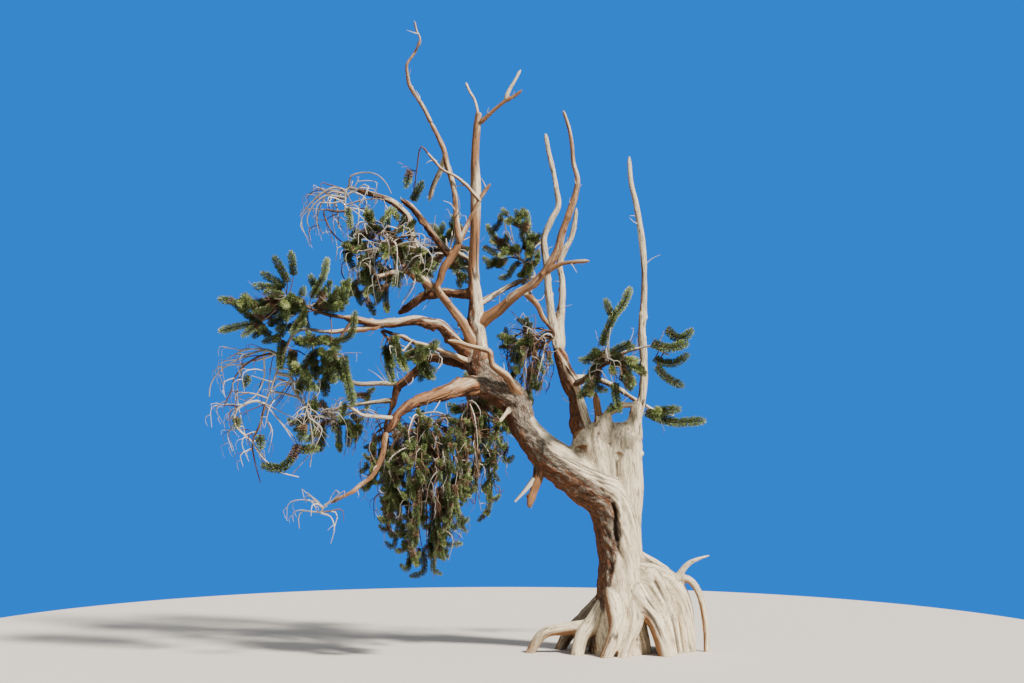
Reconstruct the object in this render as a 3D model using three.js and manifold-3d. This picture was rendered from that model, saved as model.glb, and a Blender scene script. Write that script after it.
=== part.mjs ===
// An old timberline pine: a bleached, leaning trunk with bare snags, crooked boughs,
// hanging brushes of needles and curtains of dead twigs. Millimetres, +Z up. The tree
// stands on z = 0, its long arm leans to the left (-X) and its front faces -Y.
import * as THREE from "three";
import { mergeVertices } from "three/addons/utils/BufferGeometryUtils.js";
import Module from "manifold-3d";

const wasm = await Module();
wasm.setup();

// Driving sizes.

const GAP = 0.3; // air between one piece and the next
const TWIG_SPACE = 4; // least air between a twig and whatever isn't its own mass
const TRUNK_SIDES = 11;
const LIMB_SIDES = 6;
const SLENDER = 23; // radius under which a limb has one side fewer
const RINGS_PER_STEP = 1.5;
const TWIG_SIDES = 3;
const STEM_RADIUS = 15;
const TWIG_RADIUS = 9;
const BRUSH_SIDES = 3;
const BRUSH_TIERS = 2; // whorls of needles that stand out of one brush
const BRUSH_RADIUS = 42;
const BRUSH_LENGTH = 290;
const COLLAR = 0.45; // how much thicker a limb is where it leaves its parent
const LIMB_KINK = 0.035; // how far a step kinks, as a share of its length
const DEAD_TWIGS = 1; // side twigs for each dead twig
const BRUSH_TURN = Math.PI / 3; // from one ring of a brush to the next
const BARE_SHARE = 0.12; // of a brush's shoot that has no needles
const OWN_SPACE = 0.55; // how close two brushes of one mass may come, 1 being side by side
const ATTEMPTS = 6; // tries to seat a twig or brush before it is left out

const BONE = { color: "#d8ccb2", roughness: 0.78 };
const TAN = { color: "#a8794f", roughness: 0.82 };
const BARK = { color: "#7a5039", roughness: 0.95 };
const GRAY = { color: "#8d8375", roughness: 0.92 };
const GREEN = { color: "#596832", roughness: 0.88 };

// The wood: where each limb starts, its steps [right, back, up] and its radii.

// The trunk from the ground to its bend, then the long arm, as stations up its length.
const TRUNK_START = [0, 0, -120];
const TRUNK_STEPS = [
  [0, 0, 260], [0, 0, 210], [5, 0, 290], [-35, 0, 320], [-50, 0, 110], [-110, -10, 90],
  [-140, -10, 95], [-150, 0, 110], [-115, 10, 120], [-90, 10, 125], [-50, 10, 140],
  [-140, 0, 120], [-90, 0, 105], [-50, 0, 140], [-5, 0, 140],
];
const TRUNK_RADII = [
  235, 200, 165, 150, 166, 172, 160, 146, 132, 106, 95, 105, 119, 98, 84, 66,
];
// The leader goes on from the arm to the fork at the top.
const LEADER_START = [-990, 0, 2060];
const LEADER_STEPS = [
  [-20, 0, 230], [5, 5, 140], [-20, 5, 250], [10, 0, 270], [5, 5, 300], [-5, 0, 200],
  [15, -5, 240], [12, 0, 90],
];
const LEADER_RADII = [84, 66, 50, 39, 36, 38, 30, 27, 23];

// Wood that is one with the trunk: the saddle behind the bend, the two dead columns
// and the roots, which all run on below the ground and are cut flat there.
const FUSED = [
  { start: [-130, 20, 1080], steps: [[-10, 10, 180], [-10, 0, 180], [10, 0, 170]],
    radii: [150, 150, 140, 100] },
  { start: [30, 0, 900], steps: [[20, 0, 250], [0, 0, 160], [10, 0, 190], [0, 0, 120]],
    radii: [120, 112, 104, 90, 52] },
  { start: [-80, -60, 500], steps: [[40, -110, -170], [0, -80, -160], [-110, -60, -260]],
    radii: [40, 66, 52, 42] },
  { start: [80, -50, 440], steps: [[20, -110, -180], [-60, -70, -160], [-60, -60, -190]],
    radii: [50, 60, 48, 40] },
  { start: [60, -40, 500], steps: [[100, -70, -160], [80, -60, -110], [90, -60, -290]],
    radii: [70, 76, 62, 50] },
  { start: [-70, -20, 400], steps: [[-120, -50, -190], [-80, -40, -90], [-50, -40, -220]],
    radii: [60, 66, 52, 44] },
  { start: [-220, -60, 190], steps: [[-160, 0, -20], [-150, 10, -30], [-130, 20, -190]],
    radii: [52, 46, 40, 30] },
  { start: [-60, 50, 420], steps: [[-170, 70, -190], [-130, 40, -130], [-90, 20, -180]],
    radii: [60, 60, 46, 36] },
  { start: [60, 30, 620], steps: [[170, 10, -80], [120, 10, -80], [70, 0, -130], [40, 0, -430]],
    radii: [120, 104, 94, 86, 82] },
  { start: [200, -10, 520], steps: [[80, -40, -160], [60, -30, -170], [50, -20, -290]],
    radii: [96, 80, 66, 56] },
  { start: [200, 60, 520], steps: [[70, 60, -160], [50, 60, -170], [30, 40, -290]],
    radii: [96, 80, 66, 54] },
  { start: [330, 20, 500], steps: [[140, 10, 10], [80, 0, -90], [50, 0, -230], [10, 0, -270]],
    radii: [34, 27, 26, 25, 24] },
  { start: [390, 10, 500], steps: [[90, -10, 120], [150, -10, 60]], radii: [28, 20, 9] },
  { start: [-740, -40, 1750], steps: [[-100, -70, -130], [-80, -20, -70]], radii: [24, 14, 8] },
  { start: [40, 80, 420], steps: [[60, 130, -190], [40, 90, -120], [30, 60, -190]],
    radii: [76, 66, 52, 44] },
  { start: [-60, 80, 440], steps: [[-60, 120, -170], [-60, 110, -140], [-30, 80, -210]],
    radii: [76, 64, 50, 40] },
];

// Limbs that are pieces of their own, each after the one that carries it.
const LIMBS = {
  right_snag: { look: BONE, start: [118, 0, 1380], thick: 34, thin: 16,
    steps: [[27, 10, 350], [20, 0, 330], [0, 10, 350], [-50, 10, 720], [-50, 0, 340]] },
  horn_stub: { look: BONE, start: [-160, -20, 1500], thick: 38, thin: 22,
    steps: [[10, 0, 140], [-25, -10, 180]] },
  hooked_stub: { look: BONE, start: [-110, -30, 1560], thick: 32, thin: 15,
    steps: [[20, -10, 110], [90, -10, 60], [90, 0, 0], [-10, 0, -50]] },
  middle_stem: { look: BARK, start: [-240, 20, 1440], thick: 70, thin: 40,
    steps: [[-50, 20, 260], [-50, 20, 170], [-60, 30, 160], [-60, 20, 140]] },
  pale_snag: { look: BONE, start: [-440, 80, 2120], thick: 32, thin: 13,
    steps: [[-60, 50, 410], [-30, 10, 370], [100, 10, 230], [-30, 0, 220], [-60, -10, 290]] },
  split_snag: { look: BONE, start: [-410, 90, 2110], thick: 34, thin: 15,
    steps: [[10, 80, 390], [-20, 20, 220], [80, 0, 180], [40, 0, 220]] },
  right_limb: { look: BONE, start: [-1010, 0, 2280], thick: 42, thin: 12,
    steps: [[170, -40, 120], [240, -80, 180], [160, -20, 225], [80, 20, 260],
      [60, 10, 230], [-40, 20, 250], [-60, 20, 240]] },
  right_limb_stub: { look: BONE, start: [-530, -130, 2650], thick: 18, thin: 13,
    steps: [[110, -40, 60], [200, -40, 20]] },
  cross_limb: { look: TAN, start: [-665, -100, 2520], thick: 22, thin: 18,
    steps: [[90, 40, -100], [70, 50, -130]] },
  left_leader: { look: TAN, start: [-1015, -30, 2110], thick: 34, thin: 25,
    steps: [[-90, -60, 200], [-170, -60, 240], [40, -10, 120], [125, -10, 190]] },
  upper_leader: { look: BONE, start: [-1114, -169, 2850], thick: 24, thin: 16, collar: 0,
    steps: [[-30, 10, 220], [-40, 10, 260], [-40, 10, 160], [-100, 20, 210]] },
  leader_tip: { look: BONE, start: [-1318, -120, 3692], thick: 16, thin: 8, collar: 0,
    steps: [[-150, 30, 260], [-20, 10, 150], [90, 20, 180], [-40, 10, 130]] },
  leader_fork: { look: BONE, start: [-1115, -150, 2880], thick: 20, thin: 11,
    steps: [[60, 20, 130], [80, 10, 160], [70, 0, 100]] },
  cross_twig: { look: BONE, start: [-975, -120, 3150], thick: 14, thin: 8,
    steps: [[-100, -60, 110], [-160, -50, 100], [-110, -20, 120]] },
  broken_limb: { look: BARK, start: [-1175, -130, 2760], thick: 25, thin: 18,
    steps: [[-100, 50, 120], [-180, 70, 230], [-80, 20, 60]] },
  inner_limb: { look: BONE, start: [-1280, -120, 2530], thick: 25, thin: 16,
    steps: [[-200, 40, 130], [-60, 20, 130], [-60, 10, 100]] },
  elbow_limb: { look: BONE, start: [-1485, -80, 2660], thick: 17, thin: 11,
    steps: [[-210, -80, -30], [-50, -20, 70], [-80, -10, 20]] },
  pale_side_limb: { look: BONE, start: [-1218, -120, 3470], thick: 16, thin: 19,
    steps: [[-40, 60, -110], [-80, 90, -200]] },
  top_left_prong: { look: BONE, start: [-985, 0, 3680], thick: 13, thin: 8,
    steps: [[-35, 20, 190], [-60, 10, 120]] },
  top_right_prong: { look: BONE, start: [-985, 0, 3700], thick: 18, thin: 11,
    steps: [[80, -20, 70], [110, -10, 90], [110, -10, 70]] },
  top_tip: { look: BONE, start: [-800, -30, 3860], thick: 14, thin: 9,
    steps: [[30, 10, 80], [75, 20, 135]] },
  left_bough: { look: BARK, start: [-1020, -20, 2070], thick: 46, thin: 22,
    steps: [[-240, -140, 220], [-150, -80, 30], [-300, -160, -20], [-200, -100, 40]] },
  left_bough_fork: { look: BONE, start: [-1640, -360, 2290], thick: 22, thin: 14,
    steps: [[-240, -110, -40], [-150, -40, -10]] },
  crooked_limb: { look: BARK, start: [-1020, 10, 2510], thick: 31, thin: 25,
    steps: [[-230, 100, 10], [-120, 60, -20], [-190, 0, -130]] },
  upper_left_bough: { look: BARK, start: [-1320, 150, 2520], thick: 34, thin: 17,
    steps: [[-80, 60, 170], [-60, 60, 200], [-30, 30, 160], [-120, 0, 120], [-250, -60, 80]] },
  bone_limb: { look: BONE, start: [-1060, -80, 2030], thick: 22, thin: 14,
    steps: [[-130, -80, 60], [-250, -70, 80], [-150, -30, 60]] },
  front_limb: { look: TAN, start: [-700, -30, 1790], thick: 30, thin: 14,
    steps: [[-90, -120, 140], [-100, -40, 80], [-20, -20, 90], [-130, 0, 40], [-160, 0, 40]] },
  lower_bough: { look: BARK, start: [-950, -40, 1870], thick: 60, thin: 24,
    steps: [[-270, -170, -50], [-220, -150, -70], [-110, -70, -90], [-60, -40, -110]] },
  lower_bough_end: { look: BONE, start: [-1610, -468, 1555], thick: 24, thin: 10,
    steps: [[-20, -20, -130], [-80, -50, -170], [-130, -50, -100], [-150, -30, -70]] },
  lower_bough_fork: { look: BONE, start: [-1560, -440, 1650], thick: 16, thin: 10,
    steps: [[-220, -110, 30], [-80, -40, 50]] },
  mid_bough: { look: BARK, start: [-980, 60, 1970], thick: 40, thin: 21,
    steps: [[-170, 60, 60], [-180, 90, 30], [-110, 60, -100], [-130, 40, -110], [-50, 20, -170]] },
  mid_bough_upper: { look: BONE, start: [-1545, 300, 1870], thick: 17, thin: 9,
    steps: [[-310, 90, 0], [-140, 20, 50], [-130, -20, 30], [-130, -60, -60]] },
  mid_bough_lower: { look: BONE, start: [-1600, 320, 1750], thick: 16, thin: 9,
    steps: [[-130, 40, -10], [-330, 60, -60]] },
  hanging_stub: { look: BARK, start: [-550, -30, 1380], thick: 36, thin: 32,
    steps: [[-30, -40, -170], [-60, -40, -190]] },
  back_right_limb: { look: BARK, start: [-1005, 20, 2420], thick: 22, thin: 14,
    steps: [[170, 130, 110], [190, 90, 90]] },
  right_back_bough: { look: BARK, start: [-330, 80, 1900], thick: 25, thin: 13,
    steps: [[90, 100, 20], [110, 90, -20], [130, 60, -60], [210, 40, -130]] },
  right_front_bough: { look: BARK, start: [-320, 20, 1870], thick: 18, thin: 10,
    steps: [[90, -120, 60], [100, -110, 80], [130, -60, 80], [130, -20, 40]] },
  back_bough: { look: BARK, start: [-800, 40, 1800], thick: 34, thin: 17,
    steps: [[-40, 190, 60], [-80, 180, 0], [-60, 160, -70]] },
  upper_back_bough: { look: BARK, start: [-1030, 20, 2650], thick: 24, thin: 13,
    steps: [[-20, 150, 90], [-80, 150, 60], [-60, 130, 20]] },
};

// The foliage: each mass keeps to an egg-shaped space and grows from one limb. home is
// the middle of its space, room its half-widths, twigs and brushes how many it tries to
// grow, lean the way that its brushes hang or stand, aims tips that its twigs run to.

const MASSES = {
  left_foliage: { limb: "left_bough", look: GREEN, seed: 11, brushes: 10, twigs: 5,
    home: [-2270, -560, 2460], room: [550, 340, 340], lean: [-0.5, -0.2, 0.5],
    aims: [[-2280, -560, 2760], [-2010, -560, 2720], [-2480, -620, 2550],
      [-2640, -560, 2440], [-2720, -560, 2250], [-1900, -700, 2460]] },
  left_hanging_brushes: { limb: "left_bough", at: 0.93, look: GREEN, seed: 12, brushes: 4, twigs: 4,
    home: [-2030, -560, 2030], room: [290, 240, 290], lean: [-0.1, -0.2, -0.9] },
  left_dead_curtain: { limb: "left_bough_fork", look: GRAY, seed: 13, brushes: 0, twigs: 5,
    home: [-2430, -520, 1750], room: [440, 280, 560], lean: [-0.4, 0, -0.9],
    aims: [[-2810, -520, 1870], [-2640, -520, 1690], [-2400, -560, 1540],
      [-2200, -500, 1290], [-2460, -480, 1330]] },
  upper_left_dead_curtain: { limb: "upper_left_bough", look: GRAY, seed: 14, brushes: 0, twigs: 6,
    home: [-1940, 180, 3060], room: [330, 270, 330], lean: [-0.4, 0, -0.9],
    aims: [[-2230, 150, 2990], [-2130, 160, 2880], [-1750, 180, 3300]] },
  inner_foliage: { limb: "inner_limb", look: GREEN, seed: 15, brushes: 10, twigs: 8,
    home: [-1620, -60, 2750], room: [400, 340, 410], lean: [-0.3, -0.2, -0.7] },
  small_tuft: { limb: "cross_twig", look: GREEN, seed: 17, brushes: 1, twigs: 2,
    home: [-1420, -190, 3330], room: [180, 150, 200], lean: [-0.4, 0, -0.6] },
  centre_right: { limb: "back_right_limb", look: GREEN, seed: 18, brushes: 7, twigs: 7,
    home: [-740, 280, 2800], room: [270, 250, 370], lean: [0.3, -0.2, 0.4] },
  centre_hanging: { limb: "cross_limb", look: GREEN, seed: 19, brushes: 4, twigs: 6,
    home: [-650, 60, 2060], room: [230, 220, 400], lean: [0, 0, -1] },
  right_mass: { limb: "right_front_bough", at: 0.55, look: GREEN, seed: 20, brushes: 3, twigs: 4,
    home: [-90, -260, 2080], room: [260, 240, 450], lean: [0.2, -0.2, 0.4],
    aims: [[60, -260, 2460], [-60, -220, 2400]] },
  right_upper_brushes: { limb: "right_front_bough", look: GREEN, seed: 21, brushes: 2, twigs: 1,
    home: [320, -320, 2080], room: [330, 240, 330], lean: [0.9, 0, -0.1],
    aims: [[470, -300, 2240], [430, -340, 2150], [440, -300, 2060], [400, -330, 1880]] },
  right_lower_brushes: { limb: "right_back_bough", look: GREEN, seed: 22, brushes: 2, twigs: 1,
    home: [400, 390, 1640], room: [300, 230, 230], lean: [0.9, 0, -0.2],
    aims: [[620, 390, 1620], [430, 330, 1690]] },
  left_mid: { limb: "mid_bough_lower", look: GREEN, seed: 23, brushes: 6, twigs: 6,
    home: [-2000, 430, 1580], room: [380, 280, 290], lean: [-0.3, -0.2, -0.6] },
  left_mid_upper: { limb: "mid_bough_upper", look: GRAY, seed: 24, brushes: 0, twigs: 4,
    home: [-2330, 340, 1860], room: [240, 210, 190], lean: [-0.6, 0, -0.6] },
  hanging_front: { limb: "lower_bough", at: 0.62, look: GREEN, seed: 25, brushes: 13, twigs: 8,
    home: [-1340, -400, 1170], room: [370, 280, 660], lean: [0, -0.1, -0.95],
    aims: [[-1250, -420, 590], [-1440, -380, 570], [-1580, -400, 850], [-1110, -380, 790]] },
  hanging_back: { limb: "mid_bough", look: GREEN, seed: 26, brushes: 6, twigs: 8,
    home: [-1560, 350, 1210], room: [340, 260, 560], lean: [0, 0.1, -0.95] },
  hanging_right: { limb: "lower_bough", at: 0.16, look: GREEN, seed: 27, brushes: 6, twigs: 7,
    home: [-970, -80, 1330], room: [240, 260, 440], lean: [0.1, 0, -0.95] },
  lower_left_twigs: { limb: "lower_bough_end", look: GRAY, seed: 28, brushes: 0, twigs: 4,
    home: [-2050, -620, 1010], room: [260, 210, 260], lean: [-0.3, 0, -0.9] },
  trunk_clump: { limb: "bone_limb", look: GREEN, seed: 29, brushes: 3, twigs: 3,
    home: [-1450, -350, 2060], room: [260, 210, 200], lean: [-0.3, -0.3, -0.3] },
  back_mass: { limb: "back_bough", look: GREEN, seed: 30, brushes: 5, twigs: 5,
    home: [-1000, 640, 1640], room: [340, 260, 360], lean: [0, 0.4, -0.7],
    aims: [[-960, 870, 1640], [-1080, 850, 1500]] },
  upper_back_mass: { limb: "upper_back_bough", look: GREEN, seed: 31, brushes: 5, twigs: 5,
    home: [-1230, 500, 2820], room: [310, 240, 310], lean: [0, 0.5, 0.3] },
};

// Shapes.

function vector(values) {
  return new THREE.Vector3(...values);
}

// A curve through a start and a short list of steps, with a small kink in every step.
function walk(start, steps, kinks = 0) {
  const points = [vector(start)];
  for (const [i, step] of steps.entries()) {
    const from = points.at(-1);
    const along = vector(step);
    const phase = start[0] + 3.1 * i;
    const kink = vector([Math.sin(phase), Math.cos(1.7 * phase), Math.sin(2.3 * phase)]);
    if (kinks > 0) {
      points.push(from.clone().addScaledVector(along, 0.5)
        .addScaledVector(kink, kinks * along.length()));
    }
    points.push(from.clone().add(along));
  }
  return new THREE.CatmullRomCurve3(points, false, "centripetal");
}

// A closed tube of changing radius, flat or pointed at its far end: a cylinder bent
// along a curve.
function tube(curve, sides, rings, radiusAt, options = {}) {
  const { pointed = false, shareAt, turn = 0, grow = 0 } = options;
  const geometry = new THREE.CylinderGeometry(pointed ? 0 : 1, 1, 1, sides, rings);
  const frames = curve.computeFrenetFrames(rings);
  const place = geometry.attributes.position;
  for (let i = 0; i < place.count; i++) {
    const ring = Math.round((place.getY(i) + 0.5) * rings);
    const share = shareAt ? shareAt(ring) : ring / rings;
    const angle = Math.atan2(place.getZ(i), place.getX(i));
    const onAxis = Math.hypot(place.getX(i), place.getZ(i)) < 1e-6;
    const out = onAxis ? 0 : radiusAt(share, angle, ring) + grow;
    const past = ring === 0 ? -grow : ring === rings ? grow : 0;
    const point = curve.getPointAt(share).addScaledVector(frames.tangents[ring], past);
    point.addScaledVector(frames.normals[ring], Math.cos(angle + turn * ring) * out);
    point.addScaledVector(frames.binormals[ring], -Math.sin(angle + turn * ring) * out);
    place.setXYZ(i, point.x, point.y, point.z);
  }
  return toSolid(geometry);
}

function toSolid(geometry) {
  geometry.deleteAttribute("normal");
  geometry.deleteAttribute("uv");
  const welded = mergeVertices(geometry, 1e-4);
  return new wasm.Manifold(new wasm.Mesh({
    numProp: 3,
    vertProperties: new Float32Array(welded.attributes.position.array),
    triVerts: new Uint32Array(welded.index.array),
  }));
}

function toGeometry(solid) {
  const mesh = solid.getMesh();
  const geometry = new THREE.BufferGeometry();
  geometry.setAttribute("position", new THREE.BufferAttribute(mesh.vertProperties, 3));
  geometry.setIndex(new THREE.BufferAttribute(mesh.triVerts, 1));
  const faceted = geometry.toNonIndexed();
  faceted.computeVertexNormals();
  return faceted;
}

function fuse(solids) {
  return wasm.Manifold.union(solids);
}

// The body that a cut leaves, without loose scraps or sealed hollows.
function largestBody(solid) {
  return solid.decompose().reduce((a, b) => (b.volume() > a.volume() ? b : a));
}

function boxesMeet(a, b) {
  const [one, two] = [a.boundingBox(), b.boundingBox()];
  return [0, 1, 2].every((i) => one.min[i] < two.max[i] && two.min[i] < one.max[i]);
}

// A value read off a list of stations spread along a limb.
function station(values, place) {
  const spread = place * (values.length - 1);
  const low = Math.min(Math.floor(spread), values.length - 2);
  return THREE.MathUtils.lerp(values[low], values[low + 1], spread - low);
}

// Twisted ridges of old wood, as a factor of the radius.
function ridges(share, angle) {
  return 1 + 0.05 * Math.sin(3 * angle + 9 * share) + 0.03 * Math.sin(5 * angle - 14 * share);
}

// A tube whose radii are given at the curve's own points.
function stationTube(curve, radii, sides, rings, grow) {
  const radiusAt = (share, angle) => {
    const place = curve.getUtoTmapping(share);
    return station(radii, place) * ridges(share, angle);
  };
  return tube(curve, sides, rings, radiusAt, { grow });
}

function ringCount(steps) {
  return Math.ceil(steps.length * RINGS_PER_STEP);
}

function trunkSolid(grow) {
  const arm = walk(TRUNK_START, TRUNK_STEPS);
  const leader = walk(LEADER_START, LEADER_STEPS);
  const solids = [
    stationTube(arm, TRUNK_RADII, TRUNK_SIDES, ringCount(TRUNK_STEPS), grow),
    stationTube(leader, LEADER_RADII, LIMB_SIDES + 1, ringCount(LEADER_STEPS), grow),
  ];
  for (const { start, steps, radii } of FUSED) {
    solids.push(stationTube(walk(start, steps), radii, LIMB_SIDES, ringCount(steps), grow));
  }
  const ground = new THREE.BoxGeometry(4000, 4000, 1000);
  ground.translate(0, 0, -500);
  return largestBody(fuse(solids).subtract(toSolid(ground)));
}

function limbCurve({ start, steps }) {
  return walk(start, steps, LIMB_KINK);
}

function limbRadius({ thick, thin, collar = COLLAR }, length, share) {
  const swelling = 1 + collar * Math.exp((-share * length) / (2 * thick));
  return THREE.MathUtils.lerp(thick, thin, share ** 0.8) * swelling;
}

function limbSolid(limb, grow) {
  const curve = limbCurve(limb);
  const length = curve.getLength();
  const radiusAt = (share, angle) => limbRadius(limb, length, share) * ridges(share, angle);
  const sides = limb.thick < SLENDER ? LIMB_SIDES - 1 : LIMB_SIDES;
  return tube(curve, sides, ringCount(limb.steps), radiusAt, { grow });
}

// Keeping clear: every limb and twig is noted as a row of thick segments.

const taken = [];

function note(owner, curve, radiusAt, pieces) {
  const points = curve.getSpacedPoints(pieces);
  for (let i = 0; i < pieces; i++) {
    const radius = radiusAt((i + 0.5) / pieces);
    taken.push({ owner, from: points[i], to: points[i + 1], radius });
  }
}

// The least distance between two segments.
function segmentGap(a, b, c, d) {
  const u = b.clone().sub(a);
  const v = d.clone().sub(c);
  const w = a.clone().sub(c);
  const [uu, uv, vv, uw, vw] = [u.dot(u), u.dot(v), v.dot(v), u.dot(w), v.dot(w)];
  const spread = uu * vv - uv * uv;
  const clamp = (value) => THREE.MathUtils.clamp(value, 0, 1);
  let s = spread > 1e-9 ? clamp((uv * vw - vv * uw) / spread) : 0;
  const t = clamp((uv * s + vw) / vv);
  s = clamp((uv * t - uw) / uu);
  return w.addScaledVector(u, s).addScaledVector(v, -t).length();
}

// Whether a shoot keeps off all other pieces, and its brush off its own mass's brushes.
function isClear(owner, curve, radiusAt) {
  const pieces = 5;
  const points = curve.getSpacedPoints(pieces);
  const length = curve.getLength();
  return taken.every((other) => {
    const own = other.owner === owner;
    const widest = BRUSH_RADIUS + other.radius + TWIG_SPACE;
    if (points[0].distanceTo(other.from) > widest + length + other.from.distanceTo(other.to)) {
      return true;
    }
    return points.slice(1).every((point, i) => {
      const radius = radiusAt((i + 0.5) / pieces);
      const bare = radius < BRUSH_RADIUS || other.radius < BRUSH_RADIUS;
      if (own && (bare || i < 2)) {
        return true;
      }
      const near = own ? OWN_SPACE * 2 * BRUSH_RADIUS : radius + other.radius + TWIG_SPACE;
      return segmentGap(points[i], point, other.from, other.to) > near;
    });
  });
}

function isHome(mass, points) {
  return points.every((point) => {
    const [x, y, z] = [0, 1, 2].map((i) =>
      (point.getComponent(i) - mass.home[i]) / mass.room[i]);
    return Math.hypot(x, y, z) < 1;
  });
}

// A bent line from a start along a heading, turning towards the mass's lean.
function shoot(start, heading, length, lean) {
  const middle = start.clone().addScaledVector(heading, length / 2);
  const turned = heading.clone().addScaledVector(lean, 0.7).normalize();
  const end = middle.clone().addScaledVector(turned, length / 2);
  return new THREE.CatmullRomCurve3([start.clone(), middle, end], false, "centripetal");
}

function twigSolid(curve, thick, rings) {
  const radiusAt = (share) => THREE.MathUtils.lerp(thick, 0.5 * thick, share);
  return tube(curve, TWIG_SIDES, rings, radiusAt, { pointed: true });
}

// A bare shoot that ends in a brush of needles: whorls that flare towards its tip from
// a slim core, each whorl with longer and shorter needles.
function brushSolid(curve, bare) {
  const rings = 1 + 2 * BRUSH_TIERS;
  const shareAt = (ring) => {
    const along = (ring - 1 + (ring % 2 === 0 ? 0.6 : 0)) / (rings - 1);
    return ring === 0 ? 0 : bare + (1 - bare) * along;
  };
  const radiusAt = (share, angle, ring) => {
    if (ring < 2) {
      return (ring === 0 ? 0.35 : 0.7) * TWIG_RADIUS;
    }
    return BRUSH_RADIUS * (ring % 2 === 1 ? 0.45 : 1 + 0.15 * Math.cos(angle + 3 * ring));
  };
  return tube(curve, BRUSH_SIDES, rings, radiusAt, { pointed: true, shareAt, turn: BRUSH_TURN });
}

// Directions spread evenly over a ball.
function evenDirection(i, count, turn) {
  const up = 1 - (2 * (i + 0.5)) / count;
  const around = i * Math.PI * (3 - Math.sqrt(5)) + turn;
  const out = Math.sqrt(1 - up * up);
  return vector([out * Math.cos(around), out * Math.sin(around), up]);
}

// The stem of a mass leaves its limb's tip along the limb, or its side, and runs to the
// heart of its space.
function stemCurve({ limb, at = 1, home }) {
  const parent = limbCurve(LIMBS[limb]);
  const root = parent.getPointAt(at);
  const heart = vector(home);
  const onward = at === 1 ? parent.getTangentAt(1) : heart.clone().sub(root).normalize();
  const bend = root.clone().addScaledVector(onward, 0.3 * heart.distanceTo(root));
  return new THREE.CatmullRomCurve3([root, bend, heart], false, "centripetal");
}

function growMass(name, mass) {
  THREE.MathUtils.seededRandom(mass.seed);
  const random = () => THREE.MathUtils.seededRandom();
  const jitter = (amount) => vector([random() - 0.5, random() - 0.5, random() - 0.5])
    .multiplyScalar(2 * amount);
  const lean = vector(mass.lean).normalize();
  const home = vector(mass.home);
  const dead = mass.brushes === 0;
  const stem = stemCurve(mass);
  const solids = [twigSolid(stem, STEM_RADIUS, 4)];

  // Adds a shoot where there is room for it: a brush from its bare share on, or on a
  // dead mass a twig.
  const addShoot = (curve, bare, thick) => {
    const radiusAt = (share) => (dead || share < bare ? thick : BRUSH_RADIUS);
    if (!isHome(mass, curve.points.slice(1)) || !isClear(name, curve, radiusAt)) {
      return false;
    }
    solids.push(dead ? twigSolid(curve, thick, 2) : brushSolid(curve, bare));
    note(name, curve, radiusAt, 5);
    return true;
  };

  // Twigs run out to the aims, and to points spread evenly round the heart.
  const aims = (mass.aims ?? []).map(vector);
  const twigs = [];
  for (let i = -aims.length; i < mass.twigs; i++) {
    for (let attempt = 0; attempt < ATTEMPTS; attempt++) {
      const target = i < 0
        ? aims.at(i).clone().add(jitter(15 * attempt))
        : evenDirection(i, mass.twigs, mass.seed).add(jitter(0.15 * attempt))
          .multiply(vector(mass.room)).multiplyScalar(0.7 + 0.2 * random()).add(home);
      const start = stem.getPointAt(0.35 + 0.6 * random());
      const middle = start.clone().lerp(target, 0.5).addScaledVector(lean, -40);
      const curve = new THREE.CatmullRomCurve3([start, middle, target], false, "centripetal");
      if (addShoot(curve, Math.max(0.25, 1 - BRUSH_LENGTH / curve.getLength()), TWIG_RADIUS)) {
        twigs.push(curve);
        break;
      }
    }
  }

  // Side shoots go round the stem and the twigs.
  const parents = [...twigs, stem];
  const wanted = dead ? DEAD_TWIGS * twigs.length : mass.brushes;
  for (let i = 0, seated = 0; seated < wanted && i < ATTEMPTS * wanted; i++) {
    const parent = parents[i % parents.length];
    const share = 0.3 + (dead ? 0.5 : 0.35) * random();
    const heading = parent.getTangentAt(share).add(jitter(1.2)).addScaledVector(lean, 0.5);
    const length = BRUSH_LENGTH * (0.8 + 0.4 * random());
    const curve = shoot(parent.getPointAt(share), heading.normalize(), length, lean);
    if (addShoot(curve, BARE_SHARE, 0.6 * TWIG_RADIUS)) {
      seated += 1;
    }
  }
  return fuse(solids).simplify(2);
}

// The tree.

const tree = new THREE.Group();

function place(name, solid, { color, roughness }) {
  const material = new THREE.MeshStandardMaterial({ color, roughness, metalness: 0 });
  const mesh = new THREE.Mesh(toGeometry(solid), material);
  mesh.name = name;
  tree.add(mesh);
}

const cutters = [];

function cutClear(solid) {
  let left = solid;
  for (const cutter of cutters) {
    if (boxesMeet(left, cutter)) {
      left = left.subtract(cutter);
    }
  }
  return largestBody(left);
}

place("trunk", trunkSolid(0), BONE);
cutters.push(trunkSolid(GAP));
note("trunk", walk(TRUNK_START, TRUNK_STEPS), (share) => 1.1 * station(TRUNK_RADII, share), 24);
note("trunk", walk(LEADER_START, LEADER_STEPS), (share) => 1.1 * station(LEADER_RADII, share), 16);

for (const [name, limb] of Object.entries(LIMBS)) {
  place(name, cutClear(limbSolid(limb, 0)), limb.look);
  cutters.push(limbSolid(limb, GAP));
  const curve = limbCurve(limb);
  const length = curve.getLength();
  note(name, curve, (share) => 1.1 * limbRadius(limb, length, share), 3 * limb.steps.length);
}

for (const [name, mass] of Object.entries(MASSES)) {
  note(name, stemCurve(mass), () => STEM_RADIUS, 5);
}
for (const [name, mass] of Object.entries(MASSES)) {
  place(name, cutClear(growMass(name, mass)), mass.look);
}

export default tree;
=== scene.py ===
"""Looks for an old timberline pine: bark and bleached wood with relief, twigs and needles."""
import math
import random

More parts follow.
